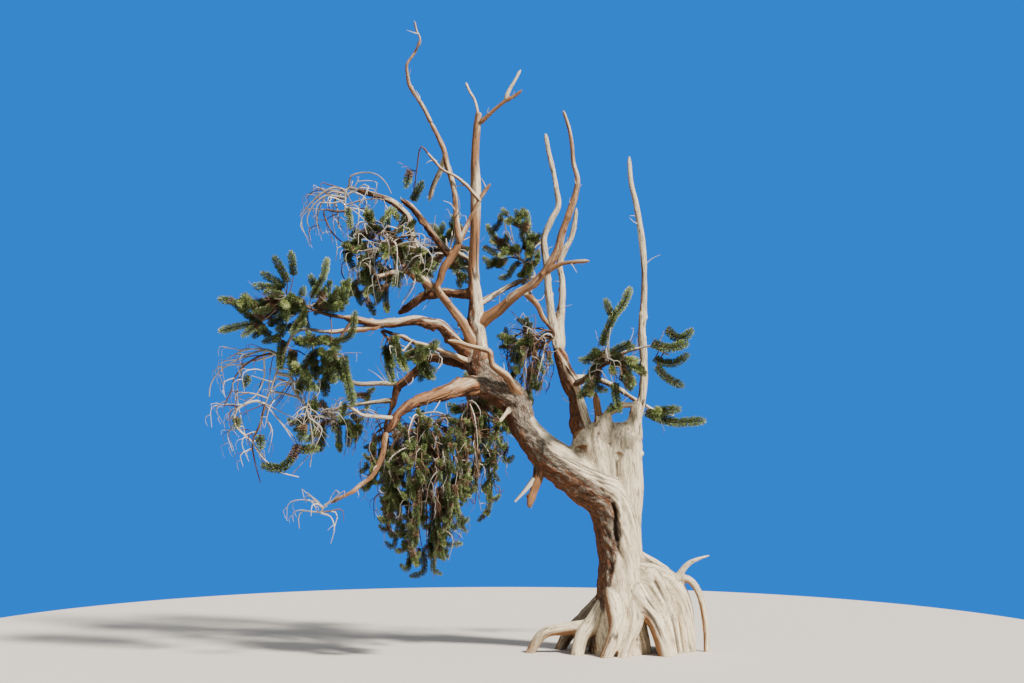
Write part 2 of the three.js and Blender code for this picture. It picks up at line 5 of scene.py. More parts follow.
import bmesh
import bpy
import numpy as np
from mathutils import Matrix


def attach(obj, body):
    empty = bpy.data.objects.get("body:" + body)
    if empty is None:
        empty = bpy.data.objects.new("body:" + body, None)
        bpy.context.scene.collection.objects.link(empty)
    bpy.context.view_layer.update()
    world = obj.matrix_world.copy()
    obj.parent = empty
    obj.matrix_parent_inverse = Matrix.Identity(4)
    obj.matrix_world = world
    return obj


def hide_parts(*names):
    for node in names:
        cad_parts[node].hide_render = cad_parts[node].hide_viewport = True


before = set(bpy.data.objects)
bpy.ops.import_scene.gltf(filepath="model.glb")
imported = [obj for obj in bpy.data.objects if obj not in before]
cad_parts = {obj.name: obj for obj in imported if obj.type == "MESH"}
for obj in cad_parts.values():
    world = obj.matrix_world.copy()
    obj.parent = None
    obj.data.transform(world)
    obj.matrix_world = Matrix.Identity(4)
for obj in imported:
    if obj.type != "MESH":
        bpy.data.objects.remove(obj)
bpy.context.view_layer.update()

bl_info = {
    "name": "Timberline Pine",
    "version": (1, 0, 0),
    "blender": (4, 5, 0),
    "location": "3D View > Sidebar > Pine",
    "description": "Dresses a packed pine tree in bark, bleached wood, twigs and needles",
    "category": "Add Mesh",
}

# The wood in millimetres: where each piece starts, its steps [right, back, up] and radii.

TRUNK_START = [0, 0, -120]
TRUNK_STEPS = [
    [0, 0, 260], [0, 0, 210], [5, 0, 290], [-35, 0, 320], [-50, 0, 110], [-110, -10, 90],
    [-140, -10, 95], [-150, 0, 110], [-115, 10, 120], [-90, 10, 125], [-50, 10, 140],
    [-140, 0, 120], [-90, 0, 105], [-50, 0, 140], [-5, 0, 140],
]
TRUNK_RADII = [235, 200, 165, 150, 166, 172, 160, 146, 132, 106, 95, 105, 119, 98, 84, 66]
LEADER_START = [-990, 0, 2060]
LEADER_STEPS = [
    [-20, 0, 230], [5, 5, 140], [-20, 5, 250], [10, 0, 270], [5, 5, 300], [-5, 0, 200],
    [15, -5, 240], [12, 0, 90],
]
LEADER_RADII = [84, 66, 50, 39, 36, 38, 30, 27, 23]

# Wood that is one with the trunk: the saddle, the dead columns and the roots.
FUSED = [
    ([-130, 20, 1080], [[-10, 10, 180], [-10, 0, 180], [10, 0, 170]], [150, 150, 140, 100]),
    ([30, 0, 900], [[20, 0, 250], [0, 0, 160], [10, 0, 190], [0, 0, 120]],
     [120, 112, 104, 90, 52]),
    ([-80, -60, 500], [[40, -110, -170], [0, -80, -160], [-110, -60, -260]], [40, 66, 52, 42]),
    ([80, -50, 440], [[20, -110, -180], [-60, -70, -160], [-60, -60, -190]], [50, 60, 48, 40]),
    ([60, -40, 500], [[100, -70, -160], [80, -60, -110], [90, -60, -290]], [70, 76, 62, 50]),
    ([-70, -20, 400], [[-120, -50, -190], [-80, -40, -90], [-50, -40, -220]], [60, 66, 52, 44]),
    ([-220, -60, 190], [[-160, 0, -20], [-150, 10, -30], [-130, 20, -190]], [52, 46, 40, 30]),
    ([-60, 50, 420], [[-170, 70, -190], [-130, 40, -130], [-90, 20, -180]], [60, 60, 46, 36]),
    ([60, 30, 620], [[170, 10, -80], [120, 10, -80], [70, 0, -130], [40, 0, -430]],
     [120, 104, 94, 86, 82]),
    ([200, -10, 520], [[80, -40, -160], [60, -30, -170], [50, -20, -290]], [96, 80, 66, 56]),
    ([200, 60, 520], [[70, 60, -160], [50, 60, -170], [30, 40, -290]], [96, 80, 66, 54]),
    ([330, 20, 500], [[140, 10, 10], [80, 0, -90], [50, 0, -230], [10, 0, -270]],
     [34, 27, 26, 25, 24]),
    ([390, 10, 500], [[90, -10, 120], [150, -10, 60]], [28, 20, 9]),
    ([-740, -40, 1750], [[-100, -70, -130], [-80, -20, -70]], [24, 14, 8]),
    ([40, 80, 420], [[60, 130, -190], [40, 90, -120], [30, 60, -190]], [76, 66, 52, 44]),
    ([-60, 80, 440], [[-60, 120, -170], [-60, 110, -140], [-30, 80, -210]], [76, 64, 50, 40]),
    ([-90, 10, 1250], [[15, 0, 150], [30, 0, 150]], [110, 104, 66]),
    ([-190, 20, 1240], [[-20, 0, 130], [-20, 0, 80]], [120, 112, 84]),
    ([85, 0, 1500], [[15, 0, 120], [28, 5, 140]], [75, 52, 34]),
    ([-10, 0, 1400], [[5, 0, 110], [0, 0, 100]], [100, 92, 62]),
    ([-130, -10, 1480], [[20, -10, 130], [20, -10, 60]], [90, 62, 36]),
]

# Where living bark clings to the trunk: the station, the side that it faces and how far
# round it reaches, as the least cosine.
BARK_STRIP = [
    (0, [-0.8, 0.5, 0], 0.5), (2, [-0.9, 0.1, 0], 0.45), (4, [-0.85, -0.5, 0], 0.3),
    (6, [-0.6, -0.4, -0.7], 0.2), (8, [-0.5, -0.3, -0.8], -0.1), (10, [-0.5, -0.2, -0.8], -0.7),
    (11, [-0.5, 0, -0.8], -1.5), (13, [-0.9, 0, 0.1], -0.9), (14, [-0.9, 0, 0], 0.2),
    (15, [-0.9, 0, 0], 0.9),
]
# Carved into the trunk: points in millimetres, width and depth.
CARVED = [
    ([[-52, -170, 1045], [-36, -170, 970], [-44, -170, 900], [-34, -160, 800]], 10, 55),
    ([[-34, -160, 800], [-20, -165, 730], [8, -165, 680], [15, -180, 560]], 10, 30),
    ([[49, -110, 1438]], 13, 30),
    ([[-130, -140, 1110], [-80, -160, 1085], [-52, -160, 1050]], 16, 22),
    ([[-70, -160, 1330], [-20, -150, 1250], [10, -150, 1120], [20, -150, 900]], 10, 18),
    ([[60, -150, 1000], [70, -150, 800], [110, -150, 640], [190, -130, 520]], 9, 16),
    ([[130, -150, 560], [205, -150, 400], [245, -165, 290], [300, -190, 120]], 14, 34),
    ([[250, -100, 500], [330, -130, 370], [385, -140, 210], [410, -130, 20]], 12, 30),
    ([[60, -180, 470], [110, -210, 330], [150, -250, 180], [170, -270, 20]], 12, 30),
    ([[330, -60, 520], [410, -70, 400], [460, -70, 240], [480, -60, 20]], 10, 24),
]

BONE, TAN, BARK = "bleached_wood", "tan_wood", "bark"
# Boughs and snags: the slot, the start, the radii at the foot and the tip, and the steps.
LIMBS = {
    "right_snag": (BONE, [118, 0, 1380], 34, 16,
                   [[27, 10, 350], [20, 0, 330], [0, 10, 350], [-50, 10, 720], [-50, 0, 340]]),
    "horn_stub": (BONE, [-160, -20, 1500], 38, 22, [[10, 0, 140], [-25, -10, 180]]),
    "hooked_stub": (BONE, [-110, -30, 1560], 32, 15,
                    [[20, -10, 110], [90, -10, 60], [90, 0, 0], [-10, 0, -50]]),
    "middle_stem": (BARK, [-240, 20, 1440], 70, 40,
                    [[-50, 20, 260], [-50, 20, 170], [-60, 30, 160], [-60, 20, 140]]),
    "pale_snag": (BONE, [-440, 80, 2120], 32, 13,
                  [[-60, 50, 410], [-30, 10, 370], [100, 10, 230], [-30, 0, 220],
                   [-60, -10, 290]]),
    "split_snag": (BONE, [-410, 90, 2110], 34, 15,
                   [[10, 80, 390], [-20, 20, 220], [80, 0, 180], [40, 0, 220]]),
    "right_limb": (BONE, [-1010, 0, 2280], 42, 12,
                   [[170, -40, 120], [240, -80, 180], [160, -20, 225], [80, 20, 260],
                    [60, 10, 230], [-40, 20, 250], [-60, 20, 240]]),
    "right_limb_stub": (BONE, [-530, -130, 2650], 18, 13, [[110, -40, 60], [200, -40, 20]]),
    "cross_limb": (TAN, [-665, -100, 2520], 22, 18, [[90, 40, -100], [70, 50, -130]]),
    "left_leader": (TAN, [-1015, -30, 2110], 34, 25,
                    [[-90, -60, 200], [-170, -60, 240], [40, -10, 120], [125, -10, 190]]),
    "upper_leader": (BONE, [-1114, -169, 2850], 24, 16,
                     [[-30, 10, 220], [-40, 10, 260], [-40, 10, 160], [-100, 20, 210]]),
    "leader_tip": (BONE, [-1318, -120, 3692], 16, 8,
                   [[-150, 30, 260], [-20, 10, 150], [90, 20, 180], [-40, 10, 130]]),
    "leader_fork": (BONE, [-1115, -150, 2880], 20, 11,
                    [[60, 20, 130], [80, 10, 160], [70, 0, 100]]),
    "cross_twig": (BONE, [-975, -120, 3150], 14, 8,
                   [[-100, -60, 110], [-160, -50, 100], [-110, -20, 120]]),
    "broken_limb": (BARK, [-1175, -130, 2760], 25, 18,
                    [[-100, 50, 120], [-180, 70, 230], [-80, 20, 60]]),
    "inner_limb": (BONE, [-1280, -120, 2530], 25, 16,
                   [[-200, 40, 130], [-60, 20, 130], [-60, 10, 100]]),
    "elbow_limb": (BONE, [-1485, -80, 2660], 17, 11,
                   [[-210, -80, -30], [-50, -20, 70], [-80, -10, 20]]),
    "pale_side_limb": (BONE, [-1218, -120, 3470], 16, 19, [[-40, 60, -110], [-80, 90, -200]]),
    "top_left_prong": (BONE, [-985, 0, 3680], 13, 8, [[-35, 20, 190], [-60, 10, 120]]),
    "top_right_prong": (BONE, [-985, 0, 3700], 18, 11,
                        [[80, -20, 70], [110, -10, 90], [110, -10, 70]]),
    "top_tip": (BONE, [-800, -30, 3860], 14, 9, [[30, 10, 80], [75, 20, 135]]),
    "left_bough": (BARK, [-1020, -20, 2070], 46, 22,
                   [[-240, -140, 220], [-150, -80, 30], [-300, -160, -20], [-200, -100, 40]]),
    "left_bough_fork": (BONE, [-1640, -360, 2290], 22, 14, [[-240, -110, -40], [-150, -40, -10]]),
    "crooked_limb": (BARK, [-1020, 10, 2510], 31, 25,
                     [[-230, 100, 10], [-120, 60, -20], [-190, 0, -130]]),
    "upper_left_bough": (BARK, [-1320, 150, 2520], 34, 17,
                         [[-80, 60, 170], [-60, 60, 200], [-30, 30, 160], [-120, 0, 120],
                          [-250, -60, 80]]),
    "bone_limb": (BONE, [-1060, -80, 2030], 22, 14,
                  [[-130, -80, 60], [-250, -70, 80], [-150, -30, 60]]),
    "front_limb": (TAN, [-700, -30, 1790], 30, 14,
                   [[-90, -120, 140], [-100, -40, 80], [-20, -20, 90], [-130, 0, 40],
                    [-160, 0, 40]]),
    "lower_bough": (BARK, [-950, -40, 1870], 60, 24,
                    [[-270, -170, -50], [-220, -150, -70], [-110, -70, -90], [-60, -40, -110]]),
    "lower_bough_end": (BONE, [-1610, -468, 1555], 24, 10,
                        [[-20, -20, -130], [-80, -50, -170], [-130, -50, -100],
                         [-150, -30, -70]]),
    "lower_bough_fork": (BONE, [-1560, -440, 1650], 16, 10, [[-220, -110, 30], [-80, -40, 50]]),
    "mid_bough": (BARK, [-980, 60, 1970], 40, 21,
                  [[-170, 60, 60], [-180, 90, 30], [-110, 60, -100], [-130, 40, -110],
                   [-50, 20, -170]]),
    "mid_bough_upper": (BONE, [-1545, 300, 1870], 17, 9,
                        [[-310, 90, 0], [-140, 20, 50], [-130, -20, 30], [-130, -60, -60]]),
    "mid_bough_lower": (BONE, [-1600, 320, 1750], 16, 9, [[-130, 40, -10], [-330, 60, -60]]),
    "hanging_stub": (BARK, [-550, -30, 1380], 36, 32, [[-30, -40, -170], [-60, -40, -190]]),
    "back_right_limb": (BARK, [-1005, 20, 2420], 22, 14, [[170, 130, 110], [190, 90, 90]]),
    "right_back_bough": (BARK, [-330, 80, 1900], 25, 13,
                         [[90, 100, 20], [110, 90, -20], [130, 60, -60], [210, 40, -130]]),
    "right_front_bough": (BARK, [-320, 20, 1870], 18, 10,
                          [[90, -120, 60], [100, -110, 80], [130, -60, 80], [130, -20, 40]]),
    "back_bough": (BARK, [-800, 40, 1800], 34, 17,
                   [[-40, 190, 60], [-80, 180, 0], [-60, 160, -70]]),
    "upper_back_bough": (BARK, [-1030, 20, 2650], 24, 13,
                         [[-20, 150, 90], [-80, 150, 60], [-60, 130, 20]]),
}
NO_COLLAR = (  # limbs that carry on another one
    "upper_leader", "leader_tip", "pale_snag", "split_snag", "lower_bough_end", "elbow_limb",
)
BARK_ROOT = 9  # number of the curve in the trunk that is a root with bark
TONE_AND_SHADE = {  # limbs whose bare wood is browner, or paler, than most: their own tone, and painted shade on limbs that lie in the crown's shade
    "right_limb": -0.45, "left_leader": -0.6, "cross_limb": -0.6, "front_limb": -0.5,
    "upper_leader": -0.4, "leader_tip": -0.45, "leader_fork": -0.45, "cross_twig": -0.3,
    "top_right_prong": -0.6, "right_limb_stub": -0.4, "horn_stub": -0.7, "hanging_stub": -0.8,
    "lower_bough": -0.6, "left_bough": -0.45, "crooked_limb": -0.5, "upper_left_bough": -0.3,
    "broken_limb": -0.5, "inner_limb": -0.45, "elbow_limb": -0.2, "mid_bough": -0.5,
    "bone_limb": -0.4, "lower_bough_end": -0.5, "middle_stem": -0.35, "right_snag": 0.1,
    "pale_snag": 0.12, "split_snag": 0.1, "top_tip": 0.12, "left_bough_fork": -0.3,
}

# Each mass grows from one limb, at its tip or at a share of its length, and keeps to an
# egg-shaped space: home is its middle, room its half-widths, lean the way its shoots turn.
# twigs and bare_twigs count the branches. aims are brushes, or a dead mass's twigs, that show
# in the outline, from the tip inward, and tufts are a dead mass's brushes. bare and dry are
# the shares of bare twigs and of brushes with old brown needles. girth scales the brushes.
# hook bends the ends of hanging twigs up. A neat mass has no side shoots on its aims.
MASSES = {
    "left_foliage": dict(
        limb="left_bough", seed=11, twigs=17, home=[-2270, -560, 2460], room=[550, 340, 340],
        lean=[-0.5, -0.2, 0.5], girth=0.85, neat=True,
        aims=[[[-2250, -560, 2765], [-2235, -560, 2620]],
              [[-2350, -640, 2730], [-2270, -620, 2570]],
              [[-2010, -560, 2720], [-2030, -570, 2620], [-2115, -560, 2470]],
              [[-2440, -500, 2630], [-2300, -520, 2540]],
              [[-2480, -620, 2550], [-2310, -600, 2520]],
              [[-2400, -700, 2500], [-2290, -660, 2480]],
              [[-2640, -560, 2440], [-2490, -570, 2330]],
              [[-2540, -660, 2450], [-2420, -640, 2330]],
              [[-2720, -560, 2250], [-2590, -570, 2280], [-2445, -560, 2310]],
              [[-2560, -640, 2220], [-2470, -620, 2290]],
              [[-2500, -520, 2215], [-2430, -540, 2290]],
              [[-1880, -600, 2455], [-2035, -590, 2415]],
              [[-1810, -700, 2360], [-1840, -700, 2215], [-1965, -680, 2180]]]),
    "left_hanging_brushes": dict(
        limb="left_bough", at=0.93, seed=12, twigs=7, home=[-2030, -560, 2030],
        room=[290, 240, 290], lean=[-0.1, -0.2, -0.9],
        aims=[[[-1830, -620, 1765], [-1875, -620, 1950], [-1900, -610, 2080]],
              [[-1930, -660, 2140], [-2010, -640, 2190]],
              [[-2240, -560, 1990], [-2230, -560, 2120]]]),
    "left_dead_curtain": dict(
        limb="left_bough_fork", seed=13, twigs=5, dead=True, home=[-2430, -520, 1750],
        room=[440, 280, 560], lean=[-0.4, 0, -0.9],
        aims=[[[-2810, -520, 1800], [-2800, -510, 1885], [-2730, -520, 1980],
               [-2595, -530, 2060], [-2430, -530, 2115]],
              [[-2705, -560, 1735], [-2655, -560, 1845], [-2635, -560, 1925],
               [-2565, -560, 2010], [-2460, -550, 2075], [-2350, -540, 2090]],
              [[-2675, -480, 1640], [-2635, -480, 1710], [-2500, -490, 1805],
               [-2440, -500, 1925], [-2430, -530, 2115]],
              [[-2390, -500, 1560], [-2420, -500, 1640], [-2405, -510, 1750],
               [-2350, -510, 1790], [-2255, -520, 1940]],
              [[-2200, -540, 1255], [-2325, -540, 1290], [-2445, -540, 1385],
               [-2515, -540, 1490], [-2635, -530, 1615], [-2620, -520, 1710],
               [-2500, -515, 1770]],
              [[-2465, -500, 1215], [-2500, -510, 1350], [-2515, -530, 1490]],
              [[-2200, -470, 1955], [-2120, -480, 2050], [-2105, -515, 2145]],
              [[-2000, -500, 1520], [-2105, -500, 1640], [-2185, -510, 1775],
               [-2240, -515, 1845], [-2255, -520, 1940]],
              [[-2130, -480, 1320], [-2115, -490, 1440], [-2120, -500, 1575],
               [-2185, -510, 1775]],
              [[-2690, -500, 2060], [-2565, -500, 2115], [-2430, -510, 2120]]],
        tufts=[[[-2430, -540, 1330], [-2325, -540, 1315], [-2240, -540, 1395],
                [-2215, -530, 1480]],
               [[-2325, -560, 2010], [-2305, -560, 2185]],
               [[-2185, -560, 1520], [-2175, -560, 1615]],
               [[-2455, -560, 1470], [-2460, -560, 1545]],
               [[-2095, -540, 1450], [-2190, -540, 1450]],
               [[-2560, -560, 1890], [-2530, -560, 1940]],
               [[-2620, -520, 1600], [-2620, -520, 1665]]]),
    "upper_left_dead_curtain": dict(
        limb="upper_left_bough", seed=14, twigs=12, dead=True, home=[-1940, 180, 3060],
        room=[330, 270, 330], lean=[-0.4, 0, -0.9],
        aims=[[[-2255, 170, 3060], [-2155, 170, 3175], [-2030, 180, 3260]],
              [[-2180, 150, 2960], [-2205, 150, 3030], [-2170, 150, 3120], [-2070, 160, 3205]],
              [[-2095, 200, 2935], [-2135, 200, 3020], [-2115, 200, 3130], [-2045, 190, 3230]],
              [[-1985, 220, 2975], [-1995, 220, 3105], [-2015, 210, 3190]],
              [[-1890, 160, 2850], [-1975, 160, 2890], [-2045, 160, 2975], [-2085, 170, 3105]],
              [[-1610, 190, 3220], [-1645, 190, 3290], [-1705, 190, 3350], [-1790, 185, 3370],
               [-1900, 180, 3340]]]),
    "inner_foliage": dict(
        limb="inner_limb", seed=15, twigs=18, home=[-1620, -60, 2750], room=[400, 340, 410],
        bare_twigs=26, lean=[-0.3, -0.2, -0.7], bare=0.5, girth=0.75, dry=0.45,
        aims=[[[-1890, 90, 2980], [-1900, 80, 3110]],
              [[-1865, -80, 2695], [-1915, -80, 2810], [-1850, -70, 2860]],
              [[-1806, -100, 2440], [-1845, -90, 2560]],
              [[-1720, -60, 2375], [-1775, -60, 2500]],
              [[-1660, -120, 2695], [-1750, -120, 2735], [-1757, -120, 2810]]]),
    "small_tuft": dict(
        limb="cross_twig", seed=17, twigs=0, home=[-1420, -190, 3330], room=[180, 150, 200],
        lean=[-0.4, 0, -0.6],
        aims=[[[-1485, -190, 3260], [-1455, -190, 3360]],
              [[-1386, -150, 3265], [-1450, -130, 3150]]]),
    "centre_right": dict(
        limb="back_right_limb", seed=18, twigs=12, home=[-740, 280, 2800],
        room=[270, 250, 370], lean=[0.3, -0.2, 0.4], girth=0.78, bare_twigs=5,
        aims=[[[-850, 200, 2780], [-960, 210, 2850]]]),
    "centre_hanging": dict(
        limb="cross_limb", seed=19, twigs=14, home=[-650, 60, 2060], room=[230, 220, 400],
        bare_twigs=26, lean=[0, 0, -1], bare=0.5, girth=0.7, dry=0.45, hook=0.2),
    "right_mass": dict(
        limb="right_front_bough", at=0.55, seed=20, twigs=15, home=[-90, -260, 2080],
        room=[260, 240, 450], bare_twigs=5, lean=[0.2, -0.2, 0.4], girth=0.92, neat=True,
        aims=[[[52, -260, 2525], [10, -250, 2430], [-55, -240, 2345], [-130, -230, 2140]],
              [[-105, -220, 2450], [-95, -225, 2410], [-65, -230, 2350]]]),
    "right_upper_brushes": dict(
        limb="right_front_bough", seed=21, twigs=0, home=[320, -320, 2080],
        room=[330, 240, 330], lean=[0.9, 0, -0.1], neat=True,
        aims=[[[470, -300, 2240], [425, -300, 2200], [375, -300, 2200], [300, -300, 2255]],
              [[430, -340, 2155], [310, -340, 2130], [205, -330, 2165]],
              [[440, -300, 2075], [375, -300, 2030], [305, -300, 2025], [225, -300, 2065]],
              [[400, -330, 1875], [300, -330, 1930], [240, -320, 2010]]]),
    "right_lower_brushes": dict(
        limb="right_back_bough", seed=22, twigs=1, home=[400, 390, 1640],
        room=[300, 230, 230], lean=[0.9, 0, -0.2],
        aims=[[[600, 390, 1605], [380, 380, 1600], [200, 370, 1680]],
              [[420, 330, 1690], [290, 340, 1680]]]),
    "left_mid": dict(
        limb="mid_bough_lower", seed=23, twigs=12, home=[-2000, 430, 1580],
        room=[380, 280, 290], bare_twigs=16, lean=[-0.3, -0.2, -0.6], bare=0.5,
        girth=0.8, dry=0.5),
    "left_mid_upper": dict(
        limb="mid_bough_upper", seed=24, twigs=12, dead=True, home=[-2330, 340, 1860],
        room=[240, 210, 190], lean=[-0.6, 0, -0.6]),
    "hanging_front": dict(
        limb="lower_bough", at=0.62, seed=25, twigs=34, home=[-1340, -400, 1170],
        room=[370, 280, 660], bare_twigs=16, lean=[0, -0.1, -0.95], hook=0.26, girth=0.66,
        dry=0.6,
        aims=[[[-1250, -420, 590]], [[-1440, -380, 570]], [[-1580, -400, 850]],
              [[-1110, -380, 790]]]),
    "hanging_back": dict(
        limb="mid_bough", seed=26, twigs=16, home=[-1560, 350, 1210], room=[340, 260, 560],
        lean=[0, 0.1, -0.95], hook=0.26, girth=0.66, bare_twigs=8, dry=0.6),
    "hanging_right": dict(
        limb="lower_bough", at=0.16, seed=27, twigs=13, home=[-970, -80, 1330],
        room=[240, 260, 440], bare_twigs=10, lean=[0.1, 0, -0.95], hook=0.26, girth=0.66,
        dry=0.6),
    "lower_left_twigs": dict(
        limb="lower_bough_end", seed=28, twigs=7, dead=True, home=[-2050, -620, 1010],
        room=[260, 210, 260], lean=[-0.3, 0, -0.9]),
    "trunk_clump": dict(
        limb="bone_limb", seed=29, twigs=6, home=[-1450, -350, 2060], room=[260, 210, 200],
        bare_twigs=4, lean=[-0.3, -0.3, -0.3]),
    "back_mass": dict(
        limb="back_bough", seed=30, twigs=10, home=[-1000, 640, 1640], room=[340, 260, 360],
        lean=[0, 0.4, -0.7], aims=[[[-960, 870, 1640]], [[-1080, 850, 1500]]]),
    "upper_back_mass": dict(
        limb="upper_back_bough", seed=31, twigs=10, home=[-1230, 500, 2820],
        room=[310, 240, 310], lean=[0, 0.5, 0.3], girth=0.85, bare_twigs=12),
}
# Masses that share one piece of twigs and one of needles.
GROUPS = {
    "left": ["left_foliage", "left_hanging_brushes", "left_dead_curtain"],
    "upper": ["inner_foliage", "small_tuft", "upper_left_dead_curtain", "upper_back_mass",
              "trunk_clump"],
    "right": ["centre_right", "centre_hanging", "right_mass", "right_upper_brushes",
              "right_lower_brushes"],
    "hanging_front": ["hanging_front", "lower_left_twigs"],
    "hanging_back": ["hanging_back", "hanging_right", "back_mass", "left_mid",
                     "left_mid_upper"],
}

UP = np.array([0.0, 0.0, 1.0])
SUN = np.array([0.50, -0.37, 0.78])  # the side from which the wood is bleached and the key light falls: wood facing it is painted paler, and wood facing away painted tan as painted shade

# Heights of the wood's relief in metres, and how its grain is laid.
WOOD_WAVE, WOOD_FIBRE, WOOD_SPLIT = 0.010, 0.003, 0.009
BARK_PLATE, BARK_ROUGH, BARK_THICK = 0.006, 0.0025, 0.004
CURVE_SHIFT = 3.7  # between the grain of one curve of the trunk and that of the next
TWIST = 1.3  # turns of the trunk's grain, in radians per metre
LIMB_TWIST = 3.0
TRUNK_RINGS, TRUNK_SIDES = 60, 20
CREASE = 0.022  # how far relief fades out, and painted shade darkens the wood, beside the crease between two curves
TABLE_STEP = 0.015  # between the places along a curve that the trunk's skin is read from
BATCH = 8000  # points that are measured at a time

# Twigs and needles, in metres.
GRAY, BROWN, PALE = range(3)  # tints of twigs
DARK, GREEN, LIGHT, DRY = range(4)  # tints of needles
TWIG_STEP = 0.03  # between the points of a twig
SPRAY_STEP = 0.012  # between the points of a spray of needles
SPRAY_TIP = 0.03  # the end of a spray, where its needles close up
STEM_RADII = 0.014, 0.006  # the stem of a mass at its foot and tip
TWIG_ROOM = 0.006  # between a twig and the wood
NEEDLED_ROOM = 0.02, 0.05  # between a needled shoot and the wood, and other tips
BARE_ROOM = 0.002, 0.012  # the same for a bare shoot
SHOOT_SPACING, DEAD_SHOOT_SPACING = 0.09, 0.12
SIDE_BRUSH = 0.05  # length of the small brushes on the side of a brush
ATTEMPTS = 8  # tries at finding a way for a twig that stays clear
CORE_RADII = 0.0095, 0.004  # the brown core of a brush at its foot and tip: its twig and old needles, and a dark fill for the shade deep in the brush
NEEDLE_TURN = 2.39996  # from one bundle to the next round a spray, in radians
NEEDLE_ROUGHNESS = 0.55
TWIG_SIDES, SPUR_SIDES = 4, 5
SPUR_SPACING, KNOT_SPACING = 0.17, 0.16
SPUR_TIP = 0.0012
OBSTACLE_STEP = 0.03  # between the balls that stand for a limb when twigs keep clear of it

# The stage. Angles are in degrees.
STAGE_RADIUS = 4.5
STAGE_MIDDLE = (-0.8, 0, 0)
LIGHT_STRENGTH = 6.0
LIGHT_COLOUR = (1.0, 0.96, 0.9)
LIGHT_TURN = (42, 14, 38)
LIGHT_WIDTH = 7
SKY = (0.36, 0.39, 0.43)
CAMERA_PLACE = (-0.756, -17.0, 2.1735)
CAMERA_LENS = 85.4


def distance(name, default, words):
    """A property that is a length in metres."""
    return bpy.props.FloatProperty(
        name=name, default=default, description=words, subtype="DISTANCE", unit="LENGTH",
        precision=4)


def shade(name, default, words):
    """A property that is a colour."""
    return bpy.props.FloatVectorProperty(
        name=name, default=default, description=words, subtype="COLOR", size=3, min=0, max=1)


class PineSizes(bpy.types.PropertyGroup):
    """Sizes of the pine's finer parts."""
    trunk_cell: distance("Trunk cell", 0.0095, "Cell size that the trunk is skinned with")
    limb_cell: distance("Limb cell", 0.008, "Face size on the boughs and snags")
    needle_length: distance("Needle length", 0.037, "Length of a bundle of needles")
    needle_width: distance("Needle width", 0.0043, "Width of a bundle at its tips")
    needle_spacing: distance("Needle spacing", 0.00054, "Way along a spray between bundles")
    needle_spread: bpy.props.FloatProperty(
        name="Needle spread", default=math.radians(70), subtype="ANGLE", unit="ROTATION",
        description="Angle between a needle and its twig")
    brush_length: distance("Brush length", 0.23, "Length of a brush of needles")
    twig_radius: distance("Twig radius", 0.0045, "Radius of a twig where it leaves its stem")


class PineColours(bpy.types.PropertyGroup):
    """Colours of the pine and of the stage."""
    # Ivory and tan are laid on partly by which way the wood faces the key light, as painted light
    # and shade.
    ivory: shade("Ivory", (0.86, 0.74, 0.53), "Sun-bleached wood")
    weathered: shade("Weathered", (0.36, 0.28, 0.19), "Gray lines in bleached wood")
    tan: shade("Tan", (0.40, 0.21, 0.105), "Sheltered wood on undersides")
    rust: shade("Rust", (0.28, 0.125, 0.065), "Red-brown bark")
    flake: shade("Flake", (0.37, 0.31, 0.24), "Gray scales on old bark")
    # Crack also gives the painted shade in the trunk's crease and clefts.
    crack: shade("Crack", (0.045, 0.028, 0.018), "Depth of cracks and hollows")
    twig_gray: shade("Gray twig", (0.38, 0.34, 0.30), "Dead twigs")
    twig_brown: shade("Brown twig", (0.17, 0.10, 0.065), "Living twigs")
    twig_pale: shade("Pale twig", (0.62, 0.56, 0.48), "Barkless twigs")
    # Dark, green and light needles are dealt out partly as painted shade and light.
    needle_dark: shade("Dark needles", (0.165, 0.205, 0.09), "Shaded needles")
    needle_mid: shade("Green needles", (0.33, 0.39, 0.165), "Most needles")
    needle_light: shade("Light needles", (0.55, 0.60, 0.29), "Young needles at the tips")
    needle_dry: shade("Dry needles", (0.30, 0.21, 0.135), "Old brown needles")
    floor: shade("Floor", (0.62, 0.57, 0.51), "Stage floor")
    backdrop: shade("Backdrop", (0.045, 0.21, 0.72), "Colour behind the tree")


# Curves.

def metres(values):
    """An array in metres of values in millimetres."""
    return np.array(values, float) * 0.001


def unit(vectors):
    length = np.linalg.norm(vectors, axis=-1, keepdims=True)
    return vectors / np.maximum(length, 1e-9)


def smooth(points, fine=16):
    """Dense points on a centripetal curve through a few."""
    points = np.asarray(points, float)
    ends = [2 * points[0] - points[1], *points, 2 * points[-1] - points[-2]]
    rows = []
    t = np.linspace(0, 1, fine, endpoint=False)[:, None]
    for a, b, c, d in zip(ends, ends[1:], ends[2:], ends[3:]):
        first, middle, last = (
            max(np.linalg.norm(q - p) ** 0.5, 1e-4) for p, q in ((a, b), (b, c), (c, d)))
        leave = (b - a) / first - (c - a) / (first + middle) + (c - b) / middle
        enter = (c - b) / middle - (d - b) / (middle + last) + (d - c) / last
        leave, enter = leave * middle, enter * middle
        rows.append(b + leave * t + (3 * (c - b) - 2 * leave - enter) * t**2
                    + (2 * (b - c) + leave + enter) * t**3)
    return np.concatenate([*rows, points[-1:]])


def walk(start, steps, kinks=0.0):
    """Points through a start and its steps, with a small kink in every step."""
    points = [np.array(start, float)]
    for i, step in enumerate(steps):
        along = np.array(step, float)
        phase = start[0] + 3.1 * i
        kink = np.array([math.sin(phase), math.cos(1.7 * phase), math.sin(2.3 * phase)])
        if kinks:
            points.append(points[-1] + 0.5 * along + kink * kinks * np.linalg.norm(along))
            points.append(points[-2] + along)
        else:
            points.append(points[-1] + along)
    return metres(points)


